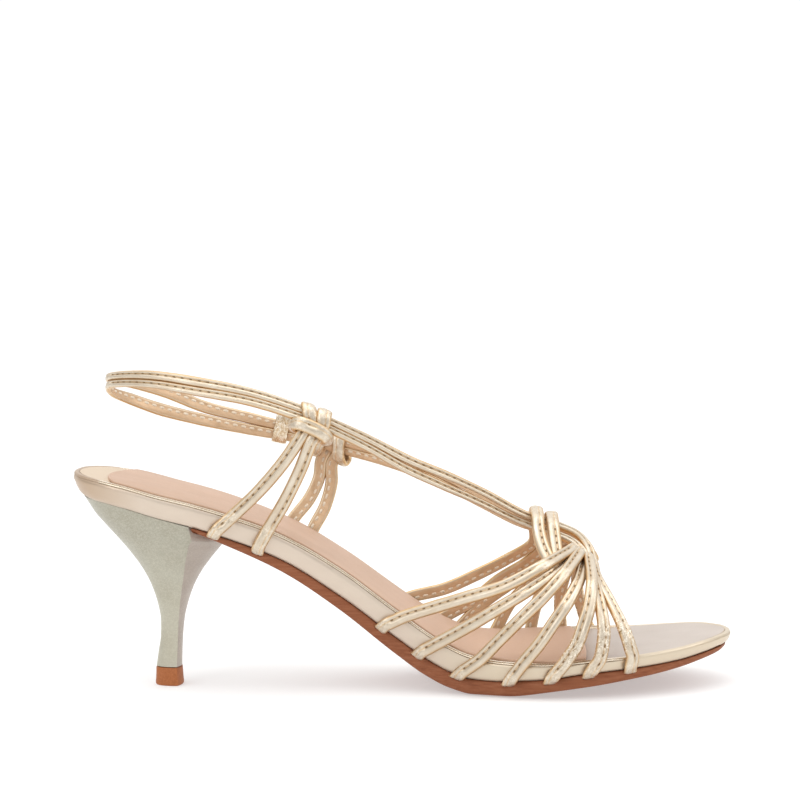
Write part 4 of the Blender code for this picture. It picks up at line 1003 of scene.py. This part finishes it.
def heel_foil(name, low, high, rough, shade):
    """Grey-green champagne foil with a fine even sparkle, from relief, roughness and painted glints, and
    with painted shade darkening it towards the seat.
    """
    look = Look(name, high, rough, 0.6)
    broad = look.noise(look.place(even(0.08)), 4.0)
    speck = look.add("ShaderNodeSeparateColor", {0: look.cells(even(2.6), "Color")}).outputs[0]
    grain = look.noise(look.place(even(2.8)), 3.0, 0.7)
    # painted shade: darker towards the seat, under the footbed
    upwards = look.between(look.part(look.place(), "Z"), 10.0, 58.0, 0.0, 1.0)
    colour = look.mix(upwards, look.ramp(broad, (0.3, low), (0.7, high)), even(shade), "MULTIPLY")
    # painted glints: brighter specks in the sparkle
    painted_sparkle = tuple(min(1.0, c * 1.16) for c in high)
    look.shade(Base_Color=look.mix(look.between(speck, 0.35, 1.0, 0.0, 0.3), colour, painted_sparkle),
               Roughness=look.between(speck, 0.0, 1.0, rough + 0.08, rough - 0.08))
    look.relief(look.total(grain, look.times(speck, 0.5)), 0.4, 0.08)
    return look.material


# ---- straps
def bend_weight(centres, outward, step):
    """How sharply a strap bends over its flat side, from 0 to 1, at each centre."""
    curve = np.gradient(np.gradient(centres, axis=0), axis=0) / step ** 2
    bend = blurred(np.abs(np.einsum("ij,ij->i", curve, outward)), BEND_REACH, step)
    return np.clip((bend - BEND_FROM) / BEND_OVER, 0.0, 1.0)


def strap_thickness(at, tucks):
    """Thickness at each distance, less where an end is tucked in."""
    thick = np.full(len(at), STRAP_THICK)
    for tucked, run in zip(tucks, (at, at[-1] - at)):
        if tucked:
            grown = np.array([soft_step((r - TUCK_LENGTH) / TUCK_RAMP) for r in run])
            thick = np.minimum(thick, TUCK_THICK + (STRAP_THICK - TUCK_THICK) * grown)
    return thick


def stitch_places(curve, thick, tucks, hand, seed):
    """Places and directions of the stitches on the outer and on the inner face."""
    at, width, centres, _, across, outward = curve
    step = at[1]
    start, end = (TUCK_LENGTH - 1.0 if tucked else 2.0 for tucked in tucks)
    outer = []
    inner = []
    for place in np.arange(math.ceil(start / STITCH_PITCH) * STITCH_PITCH, at[-1] - end, STITCH_PITCH):
        low = int(place / step)
        share = place / step - low
        centre, side, out = (rows[low] * (1 - share) + rows[low + 1] * share
                             for rows in (centres, across, outward))
        side = unit(side)
        out = unit(out)
        head = unit(np.cross(out, side))
        half = thick[low] / 2.0
        aside = side * (hand * GROOVE_AT * width[low] + 0.06 * ripple(place * 0.9, 5.0, seed))
        outer.append((centre + aside + out * (GROOVE_OUT * half - 0.12), head, side, out))
        inner.append((centre + aside - out * 0.80 * half, head, side, -out))
    return outer, inner


def make_strap(name, rows, tucks, materials, hand, seed):
    """One strap with its groove, creases and lining; returns the places of its stitches.

    hand: 1, or -1 for a strap whose stitched side is the other one
    """
    curve = strap_curve(rows, STRAP_STEP)
    at, width, centres, heading, across, outward = curve
    bend = bend_weight(centres, outward, at[1])
    folded = np.array([soft_step((value - FOLD_FROM) / (1.0 - FOLD_FROM)) for value in bend])
    # crease weight: small crease relief here, and where the foil gets painted glints and painted crease
    # shade
    crease_glint = FOLD_CREASE_GLINT * folded
    for tucked, foot, run in zip(tucks, (centres[0], centres[-1]), (at, at[-1] - at)):
        if tucked:
            toe = soft_step((foot[0] - CREASE_GLINT_FROM) / CREASE_GLINT_OVER)
            crease_glint = np.maximum(crease_glint, [toe * bell((r - CREASE_GLINT_AT) / CREASE_GLINT_REACH) for r in run])
    thick = strap_thickness(at, tucks)
    section = STRAP_SECTION if hand > 0 else [(-a, b) for a, b in STRAP_SECTION[::-1]]
    verts = []
    lay = []
    for k, run in enumerate(at):
        pucker = 0.5 + 0.5 * math.cos(2.0 * math.pi * run / STITCH_PITCH)
        sway = SWAY[0] * ripple(run * 0.12, 3.1, seed) + SWAY[1] * ripple(run * 0.5, 9.1, seed)
        broad_high = BROAD_RELIEF[0] + BROAD_RELIEF[1] * bend[k]
        small_high = SMALL_RELIEF[0] + SMALL_RELIEF[1] * crease_glint[k]
        deep = (GROOVE_DEPTH[0] + GROOVE_DEPTH[1] * pucker) * (1.0 - DOME_SHARE * folded[k])
        ring = []
        for a, b in section:
            lift = 0.0
            if b > OUTER_FROM:
                b += (math.sqrt(max(0.0, 1.0 - 4.0 * a * a)) - b) * DOME_SHARE * folded[k]
                broad = ripple(run * 0.55, a * width[k] * 0.28, seed)
                small = ripple(run * 1.15, a * width[k] * 0.5, seed + 7.3)
                lift = (broad_high * broad + small_high * small
                        - deep * bell((a * hand - GROOVE_AT) / GROOVE_WIDE))
            ring.append(centres[k] + across[k] * a * (width[k] + 2.0 * sway)
                        + outward[k] * (b / 2.0 + lift / STRAP_THICK) * thick[k])
            lay.append((run + 40.0 * seed, a * width[k] * hand, 2.0 * a * hand))
        verts.append(np.array(ring))

    def rounded(k, sign):
        middle = verts[k].mean(axis=0)
        return middle + (verts[k] - middle) * END_SHARE + heading[k] * sign * END_OUT

    size = len(section)
    points, faces = loft([rounded(0, -1.0), *verts, rounded(-1, 1.0)])
    lining = [int(one[1] < -0.85 and two[1] < -0.85
                  or one[1] < -0.75 and abs(one[0]) < 0.4 and abs(two[0]) < 0.4)
              for one, two in zip(section[-1:] + section[:-1], section)]
    tones = [0] * size + lining * (len(at) - 1) + [0] * size + [0, 0]
    crease_glint_weight = np.repeat([crease_glint[0], *crease_glint, crease_glint[-1]], size)
    lay = lay[:size] + lay + lay[-size:]
    ride(make_object("strap_" + name, points, faces, materials, tones, lay, crease_glint_weight), "straps", "upper")
    return stitch_places(curve, thick, tucks, hand, seed)


def make_stitches(name, stitches, size, material):
    """Every stitch as a short thread that dips into the strap at both its ends."""
    long, wide = size
    verts = []
    faces = []
    turns = [2.0 * math.pi * n / STITCH_SIDES for n in range(STITCH_SIDES)]
    for spot, head, side, out in stitches:
        rings = [[spot + head * along * long + out * (rise + STITCH_HALF * grow * math.sin(turn))
                  + side * 0.5 * wide * grow * math.cos(turn) for turn in turns]
                 for along, grow, rise in STITCH_PROFILE]
        points, skin = loft(rings)
        faces += [tuple(len(verts) + number for number in face) for face in skin]
        verts += points
    ride(make_object(name, verts, faces, (material,)), "straps")


def make_straps():
    materials = (strap_foil(), plain_look("strap_lining"))
    outer = []
    inner = []
    for number, (name, rows, tucks) in enumerate(upper_routes()):
        hand = -1.0 if name in OTHER_HAND else 1.0
        seen, behind = make_strap(name, rows, tucks, materials, hand, 1.7 + number)
        outer += seen
        inner += behind
    # the outer stitches take the thread darkened as painted shade of their holes
    make_stitches("stitches_outer", outer, STITCH_SIZE, plain_look("stitch_thread_painted_shade"))
    make_stitches("stitches_inner", inner, INNER_STITCH_SIZE, plain_look("stitch_thread_pale"))


# ---- sole parts
def seat_top(x, y):
    """Top of the footbed inside its rim, dished across."""
    middle, half = middle_and_half(x)
    inside = max(0.0, 1.0 - ((y - middle) / half) ** 2)
    return rim_height(x) - SEAT_SINK - SEAT_DISH * inside


def rand_lean(x):
    """How far the footbed's lower edge stands in from its outline."""
    return RAND_LEAN + SEAT_LEAN * soft_step((SEAT_LEAN_FROM - x) / SEAT_LEAN_OVER)


def rand_at(share, drop):
    """Height function at a share of the footbed's depth, and a drop below that."""
    return lambda x, y: rim_height(x) - share * rand_depth(x) - drop


def inset_at(share):
    """Inset function of the rand at a share of its depth."""
    rounding = EDGE_ROUND * max(0.0, (share - LEAN_DEPTHS[2]) / (1.0 - LEAN_DEPTHS[2])) ** 2
    return lambda x: rand_lean(x) * np.interp(share, LEAN_DEPTHS, LEAN_SHARES) + rounding


def foot_distance(x, y, share):
    """Distance along the rand from the nearest strap foot's middle, at a share of its depth."""
    side = -1 if y < 0.0 else 1
    return min([abs(x - (x_top + (x_foot - x_top) * share))
                for foot_side, x_foot, x_top in STRAP_FEET if foot_side == side] + [FAR])


def flush(x):
    """How far the rim has run out towards the toe."""
    return soft_step((x - FLUSH_FROM) / FLUSH_OVER)


def filled_seat(x, y):
    """Top of the footbed, filled up to its rim behind the sock and at the toe."""
    fill = soft_step((SOCK_BACK - x) / 6.0) + flush(x)
    return seat_top(x, y) * (1.0 - fill) + (rim_height(x) - 0.1) * fill


def rand_relief(x, y, level):
    """How far the rand stands out: puckers between the strap feet, waves, crinkles and a fold."""
    share, _, _, puff = RAND_LEVELS[level]
    near = foot_distance(x, y, share) - STRAP_WIDE * 0.5
    out = PUFF * puff * soft_step((near + PUFF_ROOM) / PUFF_OVER)
    out += WAVE * puff * ripple(x * 0.16, y * 0.16, share * 1.5)
    if level in RIM_CRINKLED:
        out += CRINKLE * ripple(x * 0.8, y * 0.8, 4.0) * soft_step((x - CRINKLE_FROM) / CRINKLE_OVER)
    if y < 0.0 and share > 0.05:
        out -= FOLD_DEPTH * bell((x - FOLD_AT - 0.9 * share) / FOLD_WIDE) * min(1.0, share * 4.0)
    return out + SEAM_FILL.get(level, 0.0) * flush(x)


def make_footbed():
    back = SECTIONS[0][0]
    front = SECTIONS[-1][0]
    rows = [(x, x, end_bulge(x, back, front, HEEL_BULGE, TOE_BULGE, END_REACH))
            for x in stations(back, front, PLATE_STEP * 0.6)]
    levels = [(rand_at(share, drop), inset_at(share) if inset is None else inset)
              for share, drop, inset, _ in RAND_LEVELS]
    levels[0] = (filled_seat, levels[0][1])
    verts, faces, parts = plate(rows, 18, 0.0, levels, rand_relief)
    points = np.array(verts)
    around = parts.index("top") // (len(RAND_LEVELS) - 1)
    tones = []
    for number, (face, part) in enumerate(zip(faces, parts)):
        x, y, _ = points[list(face)].mean(axis=0)
        # tone 2: the rolled rim with its painted highlight; tone 3: its seams, painted dark brown as shade
        if part != "side" or not RIM_FROM < x < (RIM_TO if y < 0.0 else RIM_BOTH):
            tones.append(1 if part == "top" else 0)
        elif number // around in RIM_SEAMS:
            tones.append(3)
        else:
            tones.append(2 if number // around < RIM_BANDS else 0)
    materials = [plain_look(name) for name in ("rand_satin", "front_satin", "rim_foil_painted_highlight", "rim_seam_painted_shade")]
    obj = make_object("footbed_cover", verts, faces, materials, tones)
    ride(obj, "rand", "footbed", edge=55.0)


def sock_height(thick):
    """Height function of the sock at a thickness; its upper layers are crowned and pressed."""
    def height(x, y):
        level = seat_top(x, y) + GAP + FACET_ROOM + thick
        if thick <= 0.5 * SOCK_THICK:
            return level
        middle, half = middle_and_half(x)
        side = half - SOCK_INSET - abs(y - middle)
        end = min(x - (SOCK_BACK + SOCK_BACK_BULGE), SOCK_FRONT_MEDIAL - x)
        inside = max(0.0, min(side, end))
        crown = SOCK_CROWN * soft_step((inside - 2.0) / 10.0)
        line = SOCK_LINE * bell((inside - 2.1) / 0.35)
        heel_pad = SOCK_PAD * bell((x - SOCK_PAD_AT) / SOCK_PAD_REACH) * soft_step(inside / 16.0)
        return level + crown - line + heel_pad + 0.04 * ripple(x * 0.12, y * 0.12, 2.0)
    return height


def make_sock():
    """Padded sock: a closed sheet with a rounded, pressed edge and a gently crowned middle."""
    ends = [(x, x) for x in np.linspace(SOCK_BACK, SOCK_STRAIGHT, 84)]
    ends += [tuple(SOCK_STRAIGHT + (front - SOCK_STRAIGHT) * share
                   for front in (SOCK_FRONT_MEDIAL, SOCK_FRONT_LATERAL))
             for share in np.linspace(0.0, 1.0, 34)[1:]]
    rows = [(m, l, end_bulge(m, SOCK_BACK, SOCK_FRONT_MEDIAL, SOCK_BACK_BULGE, SOCK_FRONT_BULGE,
                             SOCK_REACH)) for m, l in ends]
    levels = [(sock_height(thick), extra) for thick, extra in SOCK_LEVELS]
    verts, faces, _ = plate(rows, 26, SOCK_INSET, levels)
    obj = make_object("sock_pad", verts, faces, (plain_look("sock_leather"),))
    ride(obj, "sock", "insole")


def tread(x, y):
    """Underside of the outsole, rising a little at its edge."""
    middle, half = middle_and_half(x)
    outer = soft_step((abs(y - middle) / half - OUTSOLE_FLAT) / (1.0 - OUTSOLE_FLAT))
    return tread_height(x) + OUTSOLE_EDGE_LIFT * outer


def outsole_top(x, y):
    return footbed_underside(x) - SEAM_ROOM


def outsole_at(share):
    return lambda x, y: outsole_top(x, y) * (1.0 - share) + tread(x, y) * share


def pocket_shapes():
    """The space of every strap's tucked end, for the pockets in the outsole's top."""
    for side, x_foot, x_top in STRAP_FEET:
        at, width, centres, heading, across, outward = strap_curve(foot_rows(side, x_foot, x_top), 1.6)
        thick = strap_thickness(at, (True, False)) + 2.0 * POCKET_GROW
        centres[0] -= heading[0] * POCKET_GROW
        yield loft([centres[k] + across[k] * POCKET_SECTION[:, :1] * (width[k] + 2.0 * POCKET_GROW)
                    + outward[k] * POCKET_SECTION[:, 1:] * thick[k] for k in range(len(at))])


def make_outsole():
    front = SECTIONS[-1][0] - OUTSOLE_INSET
    rows = [(x, x, end_bulge(x, OUTSOLE_BACK, front, BREAST_BULGE, TOE_BULGE, BREAST_REACH))
            for x in stations(OUTSOLE_BACK, front, PLATE_STEP)]
    levels = [(outsole_at(share), extra) for share, extra in OUTSOLE_LEVELS]
    verts, faces, _ = plate(rows, 14, OUTSOLE_INSET, levels,
                            lambda x, y, level: 0.06 * ripple(x * 0.1, y * 0.1, level * 0.2))
    obj = make_object("outsole_sheet", verts, faces, (plain_look("outsole_board"),))
    cutters = bpy.data.collections.new("pockets")
    for number, shape in enumerate(pocket_shapes()):
        cutter = make_object(f"pocket_{number}", *shape, ())
        bpy.context.scene.collection.objects.unlink(cutter)
        cutters.objects.link(cutter)
    modifier = obj.modifiers.new("pockets", "BOOLEAN")
    modifier.operation = "DIFFERENCE"
    modifier.solver = "EXACT"
    modifier.operand_type = "COLLECTION"
    modifier.collection = cutters
    bpy.context.view_layer.update()
    carved = bpy.data.meshes.new_from_object(obj.evaluated_get(bpy.context.evaluated_depsgraph_get()))
    obj.modifiers.clear()
    obj.data = carved
    for cutter in list(cutters.objects):
        bpy.data.objects.remove(cutter, do_unlink=True)
    bpy.data.collections.remove(cutters)
    carved.shade_smooth()
    ride(obj, "outsole", "outsole", edge=42.0)


def heel_ring(half, corner, squareness, bead):
    """One section of the heel: share of its length, distance from the middle, share of the bead."""
    ring = []
    for k in range(HEEL_SIDES):
        angle = 2.0 * math.pi * (k + 0.5) / HEEL_SIDES
        c = math.cos(angle)
        s = math.sin(angle)
        if c > 0.0:
            side = power(s, 0.8)
            along = corner + (1.0 - corner) * (1.0 - side * side)
        else:
            side = power(s, squareness)
            along = corner * (1.0 - abs(c) ** squareness)
        edge = bead * bell(c / 0.07)
        ring.append((along, half * side + math.copysign(edge, s), edge))
    return ring


def make_heel():
    curves = [monotone(range(len(HEEL)), column) for column in zip(*HEEL)]
    back_x, back_z, breast_x, breast_z, half, corner = HEEL[0]
    top_back = SECTIONS[0][0] + HEEL_BULGE + rand_lean(SECTIONS[0][0]) + HEEL_INSET
    top_breast = OUTSOLE_BACK + BREAST_BULGE - BREAST_GAP
    top_half = lateral_half(0.0) - rand_lean(0.0) - HEEL_INSET
    rings = []
    for share in (0.0, 0.25, 0.5, 0.75):
        ring = []
        for along, side, _ in heel_ring(1.0, corner, 0.8, 0.0):
            x = top_back + (top_breast - top_back) * along
            upper = np.array([x, side * top_half, outsole_top(x, side * top_half)])
            lower = np.array([back_x + (breast_x - back_x) * along, side * half,
                              back_z + (breast_z - back_z) * along])
            ring.append(upper * (1.0 - share) + lower * share)
        rings.append(ring)
    for row in np.linspace(0.0, len(HEEL) - 1.0, HEEL_RINGS):
        back_x, back_z, breast_x, breast_z, half, corner = (curve(row) for curve in curves)
        squareness = min(0.96, 0.84 + 0.04 * row)
        rings.append([(back_x + (breast_x - back_x) * along + edge * 0.4, side,
                       back_z + (breast_z - back_z) * along)
                      for along, side, edge in heel_ring(half, corner, squareness,
                                                         HEEL_BEAD * min(1.0, row * 1.5))])
    verts, faces = loft(rings)
    tones = [int(math.cos(2.0 * math.pi * (face[0] % HEEL_SIDES + 1.0) / HEEL_SIDES) > 0.06)
             for face in faces[:-2]] + [0, 0]
    cover = heel_foil("heel_cover", (0.477, 0.445, 0.35), (0.55, 0.53, 0.435), 0.40, 0.75)
    # the breast: a darker copy of the same foil, painted shade where it faces forward under the arch
    breast = heel_foil("heel_breast_painted_shade", (0.44, 0.385, 0.335), (0.51, 0.455, 0.395), 0.46, 0.98)
    obj = make_object("heel_block", verts, faces, (cover, breast), tones)
    ride(obj, "heel_cover", "heel", edge=60.0)


def make_top_piece():
    back_x, _, breast_x, _, half, corner = HEEL[-1]
    rings = [[(back_x - grow + (breast_x - back_x + 2.0 * grow) * along, side, height)
              for along, side, _ in heel_ring(half + grow, corner, 0.96, 0.0)]
             for height, grow in TIP_LEVELS]
    obj = make_object("tip_block", *loft(rings), (plain_look("tip_rubber"),))
    ride(obj, "heel_tip", "top_piece", edge=50.0)


def make_keeper():
    """A crinkled band round the lateral pair of strands."""
    centres = np.array([row[:3] for row in TETHER_LATERAL])
    after = int(np.searchsorted(centres[:, 0], KEEPER_AT))
    first, second = centres[after - 1:after + 1]
    share = (KEEPER_AT - first[0]) / (second[0] - first[0])
    middle = first + (second - first) * share
    low, high = (row[3] + row[4] for row in TETHER_LATERAL[after - 1:after + 1])
    heading = unit(second - first)
    up = unit(np.cross(heading, away_from_core(middle)))
    out = unit(np.cross(up, heading))
    middle = middle + up * KEEPER_RISE
    tall = (low + (high - low) * share) / 2.0 + KEEPER_RISE + GAP + KEEPER_EASE
    deep = STRAP_THICK / 2.0 + GAP + KEEPER_EASE

    def ring(share, outer):
        """One ring of the band's outer or inner face, at a share of its width."""
        roll = min(share, 1.0 - share) * KEEPER_WIDE
        thick = KEEPER_THICK * (1.0 - 0.5 * max(0.0, 1.0 - roll / 0.5) ** 2) if outer else 0.0
        points = []
        for k in range(KEEPER_SIDES):
            angle = 2.0 * math.pi * k / KEEPER_SIDES
            x = (deep + thick) * power(math.cos(angle), 0.35)
            y = (tall + thick) * power(math.sin(angle), 0.8)
            crinkle = 1.0
            if outer:
                crinkle += 0.045 * ripple(x * 0.5, y * 0.5, share * 6.0)
                crinkle += 0.02 * ripple(x * 1.3, y * 1.3, share * 13.0)
            points.append(middle + (out * x + up * y) * crinkle + heading * (share - 0.5) * KEEPER_WIDE)
        return points

    shares = [step / KEEPER_STEPS for step in range(KEEPER_STEPS + 1)]
    rings = [ring(share, True) for share in shares] + [ring(share, False) for share in shares[::-1]]
    obj = make_object("keeper_band", *loft(rings, closed=True), (plain_look("keeper_foil"),))
    ride(obj, "keeper", "keeper")


# ---- stage
def make_stage():
    mesh = bpy.data.meshes.new("floor")
    corners = ((-1, -1), (1, -1), (1, 1), (-1, 1))
    mesh.from_pydata([(x * FLOOR_HALF, y * FLOOR_HALF, 0.0) for x, y in corners], [], [(0, 1, 2, 3)])
    mesh.materials.append(plain_look("floor_white"))
    link_new("floor", mesh)

    world = bpy.data.worlds.new("studio")
    bpy.context.scene.world = world
    world.use_nodes = True
    sky = Nodes(world.node_tree)
    shown = sky.tree.nodes["Background"]
    sky.put(shown.inputs["Strength"], BACKGROUND_STRENGTH)
    sky.put(shown.inputs["Color"], even(1.0))
    aim = sky.add("ShaderNodeTexCoord").outputs["Generated"]
    backdrop = sky.times(sky.math("MAXIMUM", sky.part(aim, "Y"), 0.0), BACKDROP_LIGHT)
    room = sky.ramp(sky.total(sky.part(aim, "Z"), backdrop), *((at, even(grey)) for at, grey in ROOM_LIGHT))
    felt = sky.add("ShaderNodeBackground", {"Color": room, "Strength": ROOM_STRENGTH})
    seen = sky.add("ShaderNodeLightPath").outputs["Is Camera Ray"]
    both = sky.add("ShaderNodeMixShader", {0: seen, 1: felt.outputs[0], 2: shown.outputs[0]})
    sky.put(sky.tree.nodes["World Output"].inputs["Surface"], both.outputs[0])

    for name, place, aim, size, watts in LAMPS:
        data = bpy.data.lights.new(name, "AREA")
        data.shape = "RECTANGLE"
        data.size, data.size_y = size
        data.energy = watts
        lamp = link_new(name, data)
        lamp.location = place
        lamp.rotation_mode = "QUATERNION"
        lamp.rotation_quaternion = (Vector(aim) - Vector(place)).to_track_quat("-Z", "Y")
    bpy.context.scene.view_settings.view_transform = "Standard"


def make_camera():
    data = bpy.data.cameras.new("camera")
    data.lens = CAMERA_LENS
    data.sensor_width = CAMERA_SENSOR
    data.clip_start, data.clip_end = CAMERA_CLIP
    camera = link_new("camera", data)
    turns = ((CAMERA_AZIMUTH, "Z"), (90.0 - CAMERA_ELEVATION, "X"), (CAMERA_ROLL, "Z"))
    place = Matrix.Translation(CAMERA_TARGET)
    for degrees, axis in turns:
        place = place @ Matrix.Rotation(math.radians(degrees), 4, axis)
    camera.matrix_world = place @ Matrix.Translation((0.0, 0.0, CAMERA_DISTANCE))
    bpy.context.scene.camera = camera


make_camera()
make_stage()
make_footbed()
make_sock()
make_outsole()
make_heel()
make_top_piece()
make_keeper()
make_straps()

bpy.context.view_layer.update()
